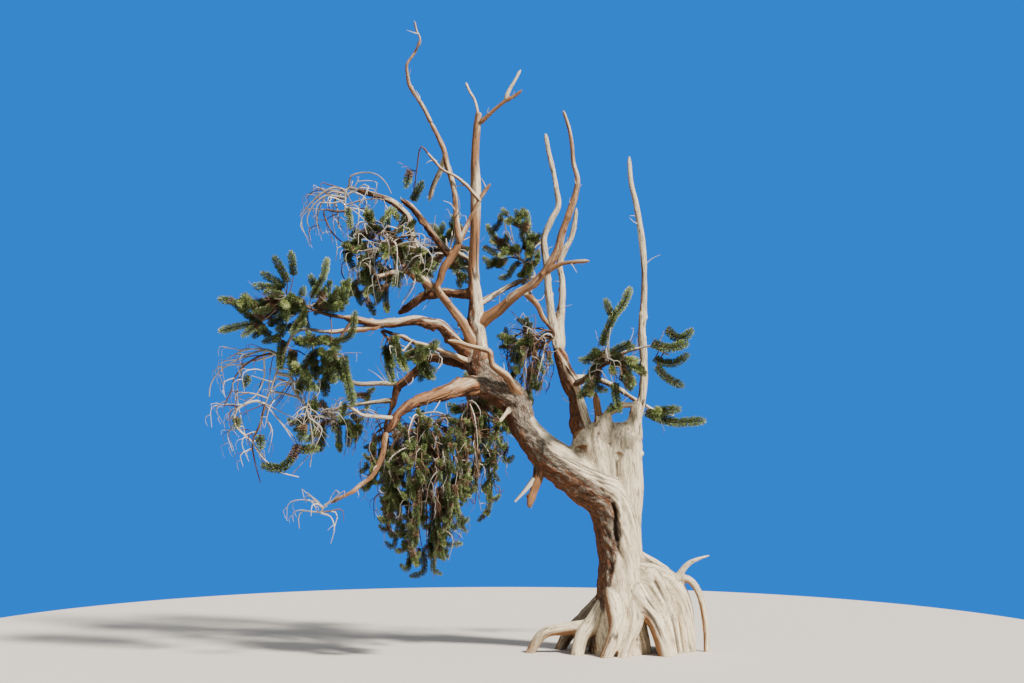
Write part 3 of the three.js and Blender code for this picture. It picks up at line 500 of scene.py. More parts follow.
class Path:
    """A smooth curve that is read by its share of length."""

    def __init__(self, points):
        self.dense = smooth(points)
        steps = np.linalg.norm(np.diff(self.dense, axis=0), axis=1)
        self.reach = np.concatenate([[0], np.cumsum(steps)])
        self.length = self.reach[-1]
        self.spans = len(points) - 1

    def at(self, shares):
        places = np.asarray(shares) * self.length
        return np.stack(
            [np.interp(places, self.reach, self.dense[:, k]) for k in range(3)], axis=-1)

    def heading(self, shares):
        shares = np.asarray(shares, float)
        return unit(self.at(np.minimum(shares + 0.004, 1)) - self.at(np.maximum(shares - 0.004, 0)))

    def station(self, values, shares):
        """Values given at the curve's own points, read by share of length."""
        marks = self.reach[::len(self.dense) // self.spans] / self.length
        return np.interp(shares, marks, values)

    def frames(self, shares):
        """Two sideways directions that turn as little as possible along the curve."""
        tangents = self.heading(shares)
        side = np.array([0.0, -1.0, 0.0])
        if abs(tangents[0] @ side) > 0.9:
            side = np.array([1.0, 0.0, 0.0])
        sides = []
        for tangent in tangents:
            side = unit(side - (side @ tangent) * tangent)
            sides.append(side)
        sides = np.array(sides)
        return sides, np.cross(tangents, sides)


def limb_path(name):
    """The curve that a limb follows."""
    _, start, _, _, steps = LIMBS[name]
    return Path(walk(start, steps, 0.035))


def limb_radius(name, length, shares):
    """Radii along a limb, with a swelling where it grows out of other wood."""
    thick, thin = metres(LIMBS[name][2]), metres(LIMBS[name][3])
    collar = 0 if name in NO_COLLAR else 0.45
    swelling = 1 + collar * np.exp(-shares * length / (2 * thick))
    return (thick + (thin - thick) * shares**0.8) * swelling


# Relief.

def noise(points, seed=0):
    """Smooth noise from -1 to 1."""
    cell = np.floor(points).astype(np.int64)
    part = points - cell
    ease = part * part * (3 - 2 * part)
    total = np.zeros(len(points))
    for corner in np.ndindex(2, 2, 2):
        x, y, z = (cell + corner).T
        mixed = (x * 73856093) ^ (y * 19349663) ^ (z * 83492791) ^ (seed * 40503)
        mixed = ((mixed ^ (mixed >> 13)) * 1274126177) & 0x7FFFFFFF
        value = ((mixed ^ (mixed >> 15)) % 2048) / 1023.5 - 1
        total += value * np.prod(np.where(corner, ease, 1 - ease), axis=1)
    return total


def spread(points, across, along):
    """Grain coordinates in cells that are longer than they are wide."""
    return points / np.array([across, across, along])


def wood_relief(grain, girth):
    """Height of bleached grain and how deep each point lies in a crack."""
    broad = noise(spread(grain, 0.05, 0.6), 1)
    fine = noise(spread(grain, 0.016, 0.25), 2)
    split = np.exp(-(noise(spread(grain, 0.03, 0.5), 3) / 0.1) ** 2)
    split *= np.clip(0.5 + 1.2 * noise(spread(grain, 0.1, 0.3), 4), 0, 1)
    height = WOOD_WAVE * broad + WOOD_FIBRE * fine - WOOD_SPLIT * split
    return height * girth, split * 0.8 + 0.3 * np.clip(-fine - 0.3 * broad, 0, 1)


def bark_relief(grain, girth):
    """Height of scaly bark and how deep each point lies between its scales."""
    scale = noise(spread(grain, 0.022, 0.05), 5)
    rough = noise(spread(grain, 0.009, 0.018), 6)
    plates = np.clip(2.2 * scale, -1, 0.8)
    height = BARK_PLATE * plates + BARK_ROUGH * rough
    return height * np.maximum(girth, 0.45), np.clip(-0.9 * scale, 0, 0.8)


def dress(points, normals, grain, girth, bark):
    """Pushes a skin out by its relief. Returns the new points and what the shader reads."""
    bark = np.clip(bark, 0, 1)
    wood_height, wood_hollow = wood_relief(grain, girth)
    bark_height, bark_hollow = bark_relief(grain, girth)
    height = wood_height * (1 - bark) + (bark_height + BARK_THICK * girth) * bark
    hollow = wood_hollow * (1 - bark) + bark_hollow * bark
    patch = noise(spread(grain, 0.06, 0.3), 7)
    # Paler towards the key light and darker away from it: sun-bleaching and painted light and
    # shade, with random patches.
    bleach_and_shade = np.clip(0.46 + 0.6 * (normals @ SUN) + 0.28 * patch, 0, 1)
    marks = {"grain": grain, "bark": bark, "hollow": np.clip(hollow, 0, 1), "bleach_and_shade": bleach_and_shade}
    return points + normals * height[:, None], marks


# Meshes.

def mesh_of(name, points, faces):
    """A mesh from arrays of points and of faces that all have the same corner count."""
    mesh = bpy.data.meshes.new(name)
    faces = np.asarray(faces, np.int32)
    mesh.vertices.add(len(points))
    mesh.vertices.foreach_set("co", np.asarray(points, np.float32).ravel())
    mesh.loops.add(faces.size)
    mesh.loops.foreach_set("vertex_index", faces.ravel())
    mesh.polygons.add(len(faces))
    mesh.polygons.foreach_set("loop_start", np.arange(0, faces.size, faces.shape[1]))
    mesh.update(calc_edges=True)
    mesh.validate()
    return mesh


def mark(mesh, name, values):
    """Gives a mesh's points a number or a vector each, under a name."""
    values = np.asarray(values, np.float32)
    kind, key = ("FLOAT_VECTOR", "vector") if values.ndim == 2 else ("FLOAT", "value")
    mesh.attributes.new(name, kind, "POINT").data.foreach_set(key, values.ravel())


def new_object(name, mesh):
    piece = bpy.data.objects.new(name, mesh)
    bpy.context.scene.collection.objects.link(piece)
    return piece


def settle(piece, slot, *nodes):
    """Says what a piece rides on and hides the solids that it stands for. Its slot is not used."""
    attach(piece, "root")
    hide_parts(*nodes)
    return piece


def tube(centres, sides, ups, radii, count):
    """Rings of points round a line, with both ends closed by a fan of triangles."""
    angles = np.arange(count) * 2 * math.pi / count
    out = (np.cos(angles)[None, :, None] * sides[:, None]
           + np.sin(angles)[None, :, None] * ups[:, None])
    points = (centres[:, None] + out * radii[:, None, None]).reshape(-1, 3)
    rings = len(centres)
    row = np.arange(count)
    faces = []
    for ring in range(rings - 1):
        a, b = ring * count + row, ring * count + np.roll(row, -1)
        faces += [np.stack([a, b, b + count], 1), np.stack([a, b + count, a + count], 1)]
    foot, tip, last = rings * count, rings * count + 1, (rings - 1) * count
    faces.append(np.stack([np.full(count, foot), np.roll(row, -1), row], 1))
    faces.append(np.stack([np.full(count, tip), last + row, last + np.roll(row, -1)], 1))
    return np.concatenate([points, centres[:1], centres[-1:]]), np.concatenate(faces)


def applied(obj, *settings):
    """The mesh that an object's modifiers make. The object itself is removed."""
    for kind, values in settings:
        modifier = obj.modifiers.new(kind, kind)
        for key, value in values.items():
            setattr(modifier, key, value)
    bpy.context.view_layer.update()
    graph = bpy.context.evaluated_depsgraph_get()
    mesh = bpy.data.meshes.new_from_object(obj.evaluated_get(graph))
    bpy.data.objects.remove(obj)
    return mesh


def vertex_arrays(mesh):
    """The places and the normals of a mesh's points."""
    points = np.zeros(len(mesh.vertices) * 3, np.float32)
    normals = np.zeros(len(mesh.vertices) * 3, np.float32)
    mesh.vertices.foreach_get("co", points)
    mesh.vertices.foreach_get("normal", normals)
    return points.reshape(-1, 3).astype(float), normals.reshape(-1, 3).astype(float)


# Shader and geometry nodes.

class Socket:
    """A node's output that takes Python's sums."""

    def __init__(self, graph, socket):
        self.graph = graph
        self.socket = socket

    def __add__(self, other):
        return self.graph.math("ADD", self, other)

    def __sub__(self, other):
        return self.graph.math("SUBTRACT", self, other)

    def __rsub__(self, other):
        return self.graph.math("SUBTRACT", other, self)

    def __mul__(self, other):
        return self.graph.math("MULTIPLY", self, other)

    __radd__ = __add__
    __rmul__ = __mul__


class Graph:
    """Adds nodes to a tree."""

    def __init__(self, tree):
        self.tree = tree

    def node(self, kind, settings=None, inputs=None, output=0):
        node = self.tree.nodes.new(kind)
        for key, value in (settings or {}).items():
            setattr(node, key, value)
        for key, value in (inputs or {}).items():
            if isinstance(value, Socket):
                self.tree.links.new(value.socket, node.inputs[key])
            else:
                node.inputs[key].default_value = value
        return Socket(self, node.outputs[output])

    def math(self, operation, *values):
        return self.node("ShaderNodeMath", {"operation": operation}, dict(enumerate(values)))

    def mark(self, name, output="Fac"):
        return self.node("ShaderNodeAttribute", {"attribute_name": name}, output=output)

    def texture(self, vector, scales, detail=3.0, roughness=0.6):
        """Noise with the given numbers of cells per metre."""
        placed = self.node("ShaderNodeMapping", inputs={"Vector": vector, "Scale": scales})
        return self.node("ShaderNodeTexNoise", inputs={
            "Vector": placed, "Scale": 1.0, "Detail": detail, "Roughness": roughness})

    def plates(self, vector, scales, bend):
        """0 in the furrows between bark plates, 1 on the plates."""
        placed = self.node("ShaderNodeMapping", inputs={"Vector": vector, "Scale": scales})
        bent = self.node("ShaderNodeVectorMath", {"operation": "MULTIPLY_ADD"}, {
            0: self.node("ShaderNodeCombineXYZ", inputs={"X": bend, "Y": bend, "Z": bend}),
            1: (2.4, 2.4, 2.4), 2: placed})
        edge = self.node("ShaderNodeTexVoronoi", {"feature": "DISTANCE_TO_EDGE"}, {
            "Vector": bent, "Scale": 1.0}, output="Distance")
        return self.step(edge, 0.02, 0.1)

    def mix(self, share, low, high):
        low, high = ((*c, 1) if isinstance(c, tuple) else c for c in (low, high))
        return self.node("ShaderNodeMix", {"data_type": "RGBA"},
                         {0: share, 6: low, 7: high}, output=2)

    def step(self, value, low, high):
        """From 0 to 1 as the value goes from low to high."""
        return self.node("ShaderNodeMapRange", {"interpolation_type": "SMOOTHSTEP"}, {
            "Value": value, "From Min": low, "From Max": high})


def plain_material(name, colour, roughness=0.85):
    """A material of one colour."""
    material = bpy.data.materials.new(name)
    material.use_nodes = True
    shader = material.node_tree.nodes["Principled BSDF"]
    shader.inputs["Base Color"].default_value = (*colour, 1)
    shader.inputs["Roughness"].default_value = roughness
    return material


def bare_wood(graph, colours, grain, bleach_and_shade, streak, fibre):
    """Colour of bleached grain and tan wood, laid partly as painted light and shade, and where its
    cracks are.
    """
    patch = graph.texture(grain, (14, 14, 5))
    seam = graph.texture(grain, (34, 34, 1.6), detail=1.0)
    split = graph.step(graph.math("ABSOLUTE", seam - 0.5), 0.002, 0.014)
    split = (1 - split) * graph.step(patch, 0.46, 0.6)
    hair = graph.texture(grain, (105, 105, 2.6), detail=1.5)
    hair = 1 - graph.step(graph.math("ABSOLUTE", hair - 0.5), 0.004, 0.02)
    split = graph.math("MAXIMUM", split, hair * 0.6)
    lines = graph.step(streak * 0.55 + fibre * 0.45, 0.36, 0.55)
    pale = graph.mix(lines, tuple(colours.weathered), tuple(colours.ivory))
    warm = graph.mix(lines, tuple(0.5 * c for c in colours.tan), tuple(colours.tan))
    # Painted light and shade, partly sun-bleaching: pale grain towards the key light, tan away from
    # it.
    lit_and_bleached = graph.step(bleach_and_shade + (patch - 0.5) * 0.7, 0.2, 0.62)
    wood = graph.mix(lit_and_bleached, warm, pale)
    return graph.mix(split * 0.85, wood, tuple(0.3 * c for c in colours.weathered)), split


def scaly_bark(graph, colours, grain, bleach_and_shade, streak):
    """Colour of gray scales on red-brown bark with dark furrows, and its height."""
    scales = graph.texture(grain, (42, 42, 15), detail=4.0)
    furrow = 1 - graph.plates(grain, (46, 46, 9), scales)
    flakes = 1 - graph.plates(grain, (95, 95, 30), streak)
    furrow = graph.math("MAXIMUM", furrow * 0.85, flakes * 0.6)
    # Gray scales gather on the lit side: partly sun-bleaching, partly painted light.
    gray = graph.step(scales * 0.9 + streak * 0.4 + bleach_and_shade * 0.35, 0.76, 0.94)
    scaly = graph.mix(gray, tuple(colours.rust), tuple(colours.flake))
    return graph.mix(furrow * 0.85, scaly, tuple(colours.crack)), scales - furrow


def wood_material(name, colours):
    """Bare wood, bark and dark hollows, mixed by what the skin's points say."""
    material = bpy.data.materials.new(name)
    material.use_nodes = True
    graph = Graph(material.node_tree)
    shader = material.node_tree.nodes["Principled BSDF"]
    grain = graph.mark("grain", "Vector")
    bark, hollow, bleach_and_shade = (graph.mark(key) for key in ("bark", "hollow", "bleach_and_shade"))
    streak = graph.texture(grain, (60, 60, 4), detail=4.0)
    fibre = graph.texture(grain, (260, 260, 14), detail=2.0)
    wood, split = bare_wood(graph, colours, grain, bleach_and_shade, streak, fibre)
    scaly, scale_height = scaly_bark(graph, colours, grain, bleach_and_shade, streak)
    colour = graph.mix(bark, wood, scaly)
    # Cracks, furrows and hollows turn dark; in the trunk's crease and clefts this is painted shade.
    colour = graph.mix(graph.step(hollow, 0.15, 0.9) * 0.85, colour, tuple(colours.crack))
    smooth_height = streak * 0.5 + fibre * 0.5 - split * 0.4
    relief = smooth_height * (1 - bark) + scale_height * bark
    bump = graph.node("ShaderNodeBump", inputs={
        "Strength": 0.8, "Distance": 0.008, "Height": relief})
    rough = 0.7 + bark * 0.2
    for key, value in {"Base Color": colour, "Normal": bump, "Roughness": rough}.items():
        graph.tree.links.new(value.socket, shader.inputs[key])
    return material


def node_group(name, sockets):
    """A geometry node group with its named inputs. Returns its graph and its inputs."""
    tree = bpy.data.node_groups.new(name, "GeometryNodeTree")
    tree.is_modifier = True
    tree.interface.new_socket("Geometry", in_out="OUTPUT", socket_type="NodeSocketGeometry")
    tree.interface.new_socket("Geometry", in_out="INPUT", socket_type="NodeSocketGeometry")
    for key, kind in sockets.items():
        tree.interface.new_socket(key, in_out="INPUT", socket_type="NodeSocket" + kind)
    graph = Graph(tree)
    source = tree.nodes.new("NodeGroupInput")
    inputs = {socket.name: Socket(graph, socket) for socket in source.outputs if socket.name}
    return graph, inputs


def finish_group(graph, geometry, inputs, materials):
    """Realizes a group's instances and gives each tint its material."""
    geometry = graph.node("GeometryNodeRealizeInstances", inputs={"Geometry": geometry})
    tint = graph.node("GeometryNodeInputNamedAttribute", {"data_type": "INT"},
                      {"Name": "tint"}, output="Attribute")
    for i, key in enumerate(materials):
        chosen = graph.node("FunctionNodeCompare", {"data_type": "INT", "operation": "EQUAL"},
                            {2: tint, 3: i})
        geometry = graph.node("GeometryNodeSetMaterial", inputs={
            "Geometry": geometry, "Selection": chosen, "Material": inputs[key]})
    sink = graph.tree.nodes.new("NodeGroupOutput")
    graph.tree.links.new(geometry.socket, sink.inputs[0])
    return graph.tree


def needle_group(materials):
    """Bundles of needles in a spiral along every line, leaning forward and closing up at
    the tip. A bundle widens from its foot."""
    sockets = {"Spacing": "Float", "Length": "Float", "Width": "Float", "Spread": "Float",
               "Seed": "Int"}
    graph, inputs = node_group("Needle Brushes", sockets | dict.fromkeys(materials, "Material"))

    def chance(low, high, shift):
        return graph.node("FunctionNodeRandomValue", {"data_type": "FLOAT"}, {
            2: low, 3: high, 8: inputs["Seed"] + shift}, output=1)

    def about(axis, angle):
        return graph.node("FunctionNodeAxisAngleToRotation", inputs={
            "Axis": axis, "Angle": angle})

    def turned(rotation, more):
        return graph.node("FunctionNodeRotateRotation", {"rotation_space": "LOCAL"}, {
            "Rotation": rotation, "Rotate By": more})

    tip, fullness = (
        graph.node("GeometryNodeInputNamedAttribute", {"data_type": "FLOAT"}, {"Name": key},
                   output="Attribute") for key in ("tip", "fullness"))
    lines = graph.node("GeometryNodeMeshToCurve", inputs={"Mesh": inputs["Geometry"]})
    lines = graph.node("GeometryNodeResampleCurve", {"mode": "LENGTH"}, {
        "Curve": lines, "Length": graph.math("DIVIDE", inputs["Spacing"], fullness)})
    facing = graph.node("FunctionNodeAlignRotationToVector", {"axis": "Z"}, {
        "Vector": graph.node("GeometryNodeInputTangent")})
    index = graph.node("GeometryNodeInputIndex")
    spun = turned(facing, about((0, 0, 1), index * NEEDLE_TURN + chance(-0.4, 0.4, 1)))
    closing = 1.05 - 0.8 * tip * tip
    leaning = turned(spun, about((1, 0, 0), inputs["Spread"] * closing * chance(0.8, 1.25, 2)))
    needle = graph.node("GeometryNodeMeshCone", {"fill_type": "NONE"}, {
        "Vertices": 3, "Side Segments": 1, "Radius Top": inputs["Width"] * 0.5,
        "Radius Bottom": 0.0, "Depth": inputs["Length"]})
    sized = graph.node("ShaderNodeCombineXYZ", inputs={
        "X": 1.0, "Y": 1.0, "Z": fullness * chance(0.8, 1.08, 3)})
    needles = graph.node("GeometryNodeInstanceOnPoints", inputs={
        "Points": lines, "Instance": needle, "Rotation": leaning, "Scale": sized})
    return finish_group(graph, needles, inputs, materials)


def twig_group(materials):
    """A round twig along every line, as thick as its points say."""
    graph, inputs = node_group("Twigs", {"Sides": "Int"} | dict.fromkeys(materials, "Material"))
    lines = graph.node("GeometryNodeMeshToCurve", inputs={"Mesh": inputs["Geometry"]})
    thick = graph.node("GeometryNodeInputNamedAttribute", {"data_type": "FLOAT"}, {
        "Name": "thick"}, output="Attribute")
    ring = graph.node("GeometryNodeCurvePrimitiveCircle", inputs={
        "Resolution": inputs["Sides"], "Radius": 1.0})
    twigs = graph.node("GeometryNodeCurveToMesh", inputs={
        "Curve": lines, "Profile Curve": ring, "Scale": thick, "Fill Caps": True})
    return finish_group(graph, twigs, inputs, materials)


def grown(name, skeleton, tree, values):
    """The mesh that a node group makes along a skeleton's lines."""
    piece = new_object(name + "_lines", skeleton.mesh(name + "_lines"))
    modifier = piece.modifiers.new("Growth", "NODES")
    modifier.node_group = tree
    for item in tree.interface.items_tree:
        if item.in_out == "INPUT" and item.name in values:
            modifier[item.identifier] = values[item.name]
    mesh = applied(piece)
    mesh.name = name
    return new_object(name, mesh)


# Growth.

class Skeleton:
    """Lines that twigs or needles grow along, each with a tint and with values per point."""

    def __init__(self, *names):
        self.names = names
        self.lines = []

    def add(self, points, tint, *values):
        columns = [np.broadcast_to(value, len(points)) for value in values]
        self.lines.append((points, tint, np.stack(columns, 1)))

    def mesh(self, name):
        points = np.concatenate([line[0] for line in self.lines])
        counts = [len(line[0]) for line in self.lines]
        starts = np.concatenate([[0], np.cumsum(counts)[:-1]])
        edges = np.concatenate([
            np.stack([np.arange(s, s + n - 1), np.arange(s + 1, s + n)], 1)
            for s, n in zip(starts, counts)])
        mesh = bpy.data.meshes.new(name)
        mesh.vertices.add(len(points))
        mesh.vertices.foreach_set("co", points.astype(np.float32).ravel())
        mesh.edges.add(len(edges))
        mesh.edges.foreach_set("vertices", edges.astype(np.int32).ravel())
        values = np.concatenate([line[2] for line in self.lines])
        for key, column in zip(self.names, values.T):
            mark(mesh, key, column)
        tints = np.repeat([line[1] for line in self.lines], counts).astype(np.int32)
        mesh.attributes.new("tint", "INT", "POINT").data.foreach_set("value", tints)
        mesh.update()
        return mesh


def even_direction(i, count, turn):
    """One of a count of directions that are spread evenly over a ball."""
    up = 1 - 2 * (i + 0.5) / count
    around = i * math.pi * (3 - math.sqrt(5)) + turn
    out = math.sqrt(1 - up * up)
    return np.array([out * math.cos(around), out * math.sin(around), up])


class Growth:
    """One mass: a stem, twigs to points round its heart, brushes, and finer shoots."""

    def __init__(self, name, sizes, obstacles):
        self.plan = MASSES[name]
        self.sizes = sizes
        self.obstacles = obstacles
        self.random = random.Random(self.plan["seed"])
        self.home, self.room = metres(self.plan["home"]), metres(self.plan["room"])
        self.lean = unit(np.array(self.plan["lean"], float))
        self.dead = self.plan.get("dead", False)
        self.girth = self.plan.get("girth", 1.0)
        self.twigs = Skeleton("thick")
        self.brushes = Skeleton("fullness", "tip")
        self.tips = []

    def jitter(self, amount):
        return np.array([self.random.uniform(-amount, amount) for _ in range(3)])

    def is_home(self, points):
        """Whether all of the points lie in the mass's space."""
        return np.all(np.linalg.norm((points - self.home) / self.room, axis=1) < 1)

    def is_clear(self, points, reach):
        """Whether all of the points keep farther than a reach from the wood."""
        centres, radii = self.obstacles
        gaps = np.linalg.norm(points[:, None] - centres[None], axis=2) - radii[None]
        return np.all(gaps > reach)

    def line(self, start, end, knots=4, rough=0.05):
        """A line that arches out and kinks at its knots. A living end turns up, a dead one
        hooks down."""
        span = end - start
        length = np.linalg.norm(span)
        out = unit((end - self.home) * [1, 1, 0])
        arch, hook = (0.24, 0.14) if self.dead else (0.1, -self.plan.get("hook", 0.12))
        points = [start]
        for k in range(1, knots + 1):
            share = k / knots
            rise = arch * math.sin(math.pi * share) * (UP + out)
            turn = hook * math.sin(math.pi * share**3) * (UP + 0.6 * out)
            points.append(start + span * share + (rise + turn) * length
                          + self.jitter(rough * length) * (k < knots))
        return Path(points)

    def twig(self, path, thick, thin):
        """A twig along a path: mostly brown on living ones, gray or pale on dead ones."""
        weights = (3, 6, 1) if "hook" in self.plan or not self.dead else (4, 2, 4)
        tint = self.random.choices((GRAY, BROWN, PALE), weights)[0]
        count = max(4, round(path.length / TWIG_STEP))
        self.twigs.add(path.at(np.linspace(0, 1, count)), tint, np.linspace(thick, thin, count))

    def tint(self, tip):
        """Brushes low and inside are darker, as painted shade, and high ones lighter, as painted
        light; a few are dry.
        """
        inside = 1 - np.linalg.norm((tip - self.home) / self.room)
        height = (tip[2] - self.home[2]) / self.room[2]
        light = 0.3 * height - 0.9 * inside + self.random.uniform(-0.5, 0.7)
        # Painted shade on the hanging masses.
        light -= 0.4 if "hook" in self.plan else 0
        return LIGHT if light > 0.35 else GREEN if light > -0.3 else DARK

    def brush(self, path, length, knobs=(0, 1, 2, 3)):
        """Needles on the outer part of a shoot: old ones first, then this year's. Each part
        has a darker inner spray, painted shade deep in the brush, and a lighter outer one."""
        first = max(0.0, 1 - length / path.length)
        change = first + (1 - first) * self.random.uniform(0.2, 0.6)
        fresh = self.tint(path.at(1.0))
        darker = {GREEN: DARK, LIGHT: GREEN}
        dry = self.random.random() < self.plan.get("dry", 0.3)
        old = DRY if dry else darker.get(fresh, fresh)
        full = self.random.uniform(0.92, 1.08) * self.girth
        core = np.linspace(first, 1, max(4, round(length / TWIG_STEP)))
        # The brown core is the twig, thickened as painted shade deep in the brush.
        self.twigs.add(path.at(core), BROWN, np.linspace(*CORE_RADII, len(core)) * full)
        for low, high, tint in ((first, change, old), (change, 1.0, fresh)):
            count = max(3, round((high - low) * path.length / SPRAY_STEP))
            shares = np.linspace(low, high, count)
            tip = np.clip(1 - (1 - shares) * path.length / SPRAY_TIP, 0, 1)
            self.brushes.add(path.at(shares), tint, full, tip)
            # The darker inner spray is painted shade deep in the brush.
            self.brushes.add(path.at(shares), darker.get(tint, tint), 0.85 * full, tip)
        for _ in range(self.random.choice(knobs) if length > 0.1 else 0):
            share = 1 - self.random.uniform(0.1, 0.9) * length / path.length
            heading = unit(path.heading(share) * 0.7 + self.jitter(1.0) + 0.3 * UP)
            knob = path.at(share) + heading * self.random.uniform(0.045, 0.09)
            self.brush(Path([path.at(share), knob]), SIDE_BRUSH)

    def shoot(self, start, heading, length, thick, needled):
        """A side shoot, where it has room."""
        end = start + heading * length * 0.55 + unit(heading + 0.7 * self.lean) * length * 0.45
        path = self.line(start, end, 3)
        points = path.at(np.linspace(0.3, 1, 5))
        reach, near = NEEDLED_ROOM if needled else BARE_ROOM
        if not self.is_home(points) or not self.is_clear(points, reach):
            return None
        if any(np.linalg.norm(end - tip) < near for tip in self.tips):
            return None
        self.tips.append(end)
        self.twig(path, thick, 0.4 * thick)
        if needled:
            self.brush(path, 0.75 * path.length)
        return path

    def grow(self):
        """Grows the stem, the twigs that the outline shows, and the rest round them."""
        limb = limb_path(self.plan["limb"])
        at = self.plan.get("at", 1)
        root = limb.at(at)
        away = limb.heading(1.0) if at == 1 else unit(self.home - root)
        bend = root + away * 0.3 * np.linalg.norm(self.home - root)
        stem = Path([root - away * 0.01, bend, self.home])
        thick, thin = STEM_RADII
        self.twig(stem, min(thick, 0.9 * metres(LIMBS[self.plan["limb"]][3])), thin)
        for tuft in self.plan.get("tufts", ()):
            self.aimed(stem, tuft, True)
        branches = [self.aimed(stem, aim, not self.dead) for aim in self.plan.get("aims", ())]
        self.spread_out(stem, self.plan["twigs"], [] if "neat" in self.plan else branches)
        self.dead = True
        self.spread_out(stem, self.plan.get("bare_twigs", 0), [])
        return self

    def spread_out(self, stem, count, branches):
        """Twigs to points round the heart, and the side shoots of all of them."""
        branches += [self.branch(stem, i, count) for i in range(count)]
        for branch in filter(None, branches):
            self.side_shoots(branch)

    def aimed(self, stem, aim, green):
        """A twig whose brush or dead end runs where the photograph shows it. Returns the
        part of it that side shoots grow from."""
        outer = metres(aim[::-1])
        shares = np.linspace(0.2, 1, 20)
        start = stem.at(shares[np.argmin(np.linalg.norm(stem.at(shares) - outer[0], axis=1))])
        if len(outer) == 1:
            path = self.line(start, outer[0])
            length = self.sizes.brush_length
        else:
            path = Path([start, 0.5 * (start + outer[0]) + self.jitter(0.01), *outer])
            length = Path(outer).length
        radius = self.sizes.twig_radius * (1 if green else 2)
        self.twig(path, radius, 0.4 * radius)
        self.tips.append(path.at(1.0))
        if not green:
            return path
        self.brush(path, min(length, 0.95 * path.length), (0,))
        return Path(path.at(np.linspace(0, max(0.2, 1.05 - length / path.length), 6)))

    def branch(self, stem, i, count):
        """A twig from the stem to a point near the edge of the space."""
        for attempt in range(ATTEMPTS):
            way = even_direction(i, count, self.plan["seed"] + count)
            way = unit(way + self.jitter(0.15 * attempt))
            if "neat" in self.plan:  # its top is left to the brushes in aims
                way[2] = min(way[2], -0.1)
            target = self.home + way * self.room * self.random.uniform(0.6, 0.93)
            start = stem.at(self.random.uniform(0.3, 1))
            path = self.line(start, target)
            if "hook" in self.plan and target[2] < stem.at(0.5)[2]:
                path = self.strand(stem.at(self.random.uniform(0.1, 0.7)), target)
            points = path.at(np.linspace(0.3, 1, 8))
            if self.is_home(points) and self.is_clear(points, TWIG_ROOM):
                radius = self.sizes.twig_radius * (1.5 if self.dead else 1)
                self.twig(path, radius, 0.35 * radius)
                self.tips.append(path.at(1.0))
                if not self.dead and self.random.random() > self.plan.get("bare", 0.1):
                    length = self.sizes.brush_length * self.random.uniform(0.6, 1.3)
                    if "hook" in self.plan:
                        length = path.length * self.random.uniform(0.3, 0.7)
                    self.brush(path, min(length, 0.85 * path.length))
                return path
        return None

    def strand(self, start, target):
        """A twig that arches over and hangs straight down, with its tip turned up."""
        knee = target + UP * 0.75 * (start[2] - target[2])
        out = unit((target - self.home) * [1, 1, 0])
        return Path([
            start, 0.5 * (start + knee) + UP * 0.2 * np.linalg.norm((knee - start)[:2]), knee,
            0.6 * knee + 0.4 * target + self.jitter(0.02), 0.2 * knee + 0.8 * target,
            target + 0.03 * out, target + 0.07 * out + 0.03 * UP])

    def side_shoots(self, branch):
        """Shorter shoots along a branch, and fine bare twigs."""
        shoots = round(branch.length / (DEAD_SHOOT_SPACING if self.dead else SHOOT_SPACING))
        for i in range(shoots):
            share = 0.2 + 0.75 * (i + self.random.random()) / shoots
            heading = unit(branch.heading(share) + self.jitter(1.0) + 0.4 * self.lean)
            length = self.sizes.brush_length * self.random.uniform(0.35, 0.85)
            length *= 1.4 if self.dead else 1
            needled = self.random.random() < (0.05 if self.dead else 0.55)
            radius = self.sizes.twig_radius * (1.0 if self.dead else 0.6)
            side = self.shoot(branch.at(share), heading, length, radius, needled)
            if side is not None and not needled:
                for place in (0.4, 0.75):
                    heading = unit(side.heading(place) + self.jitter(0.9) + 0.3 * self.lean)
                    reach = length * self.random.uniform(0.3, 0.6)
                    self.shoot(side.at(place), heading, reach, 0.6 * radius, False)


def spurs():
    """Short dead spurs on the boughs and snags, and the splinter of the hanging stub."""
    bones = Skeleton("thick")
    chance = random.Random(7)
    for name, (_, _, _, thin, _) in LIMBS.items():
        path = limb_path(name)
        for _ in range(round(path.length / SPUR_SPACING)):
            share = chance.uniform(0.12, 0.9)
            side = unit(np.array([chance.uniform(-1, 1) for _ in range(3)]))
            onward = path.heading(share)
            heading = unit(side - (side @ onward) * onward + 0.5 * onward)
            reach = metres(thin) + chance.uniform(0.02, 0.1) + chance.choice((0, 0, 0.09))
            reach *= 1 - 0.6 * share
            bend = 0.3 * np.array([chance.uniform(-1, 1) for _ in range(3)]) * reach
            foot = path.at(share)
            points = Path([foot, foot + 0.6 * reach * heading, foot + reach * heading + bend])
            foot_radius = chance.uniform(0.003, 0.006)
            bones.add(points.at(np.linspace(0, 1, 7)), chance.choice((GRAY, PALE, PALE)),
                      np.linspace(foot_radius, SPUR_TIP, 7))
    splinter = Path(metres([[-600, -80, 1215], [-670, -100, 1130], [-735, -105, 1060]]))
    bones.add(splinter.at(np.linspace(0, 1, 8)), PALE, np.linspace(0.024, 0.008, 8))
    return bones


def wood_obstacles():
    """Points down the middle of the trunk and every limb, with their radii."""
    centres, radii = [], []
    for start, steps, widths in [(TRUNK_START, TRUNK_STEPS, TRUNK_RADII),
                                 (LEADER_START, LEADER_STEPS, LEADER_RADII)]:
        path = Path(walk(start, steps))
        shares = np.linspace(0, 1, 80)
        centres.append(path.at(shares))
        radii.append(path.station(metres(widths), shares) * 1.05)
    for name in LIMBS:
        path = limb_path(name)
        shares = np.linspace(0, 1, max(8, int(path.length / OBSTACLE_STEP)))
        centres.append(path.at(shares))
        radii.append(limb_radius(name, path.length, shares))
    return np.concatenate(centres), np.concatenate(radii)


# Wood pieces.

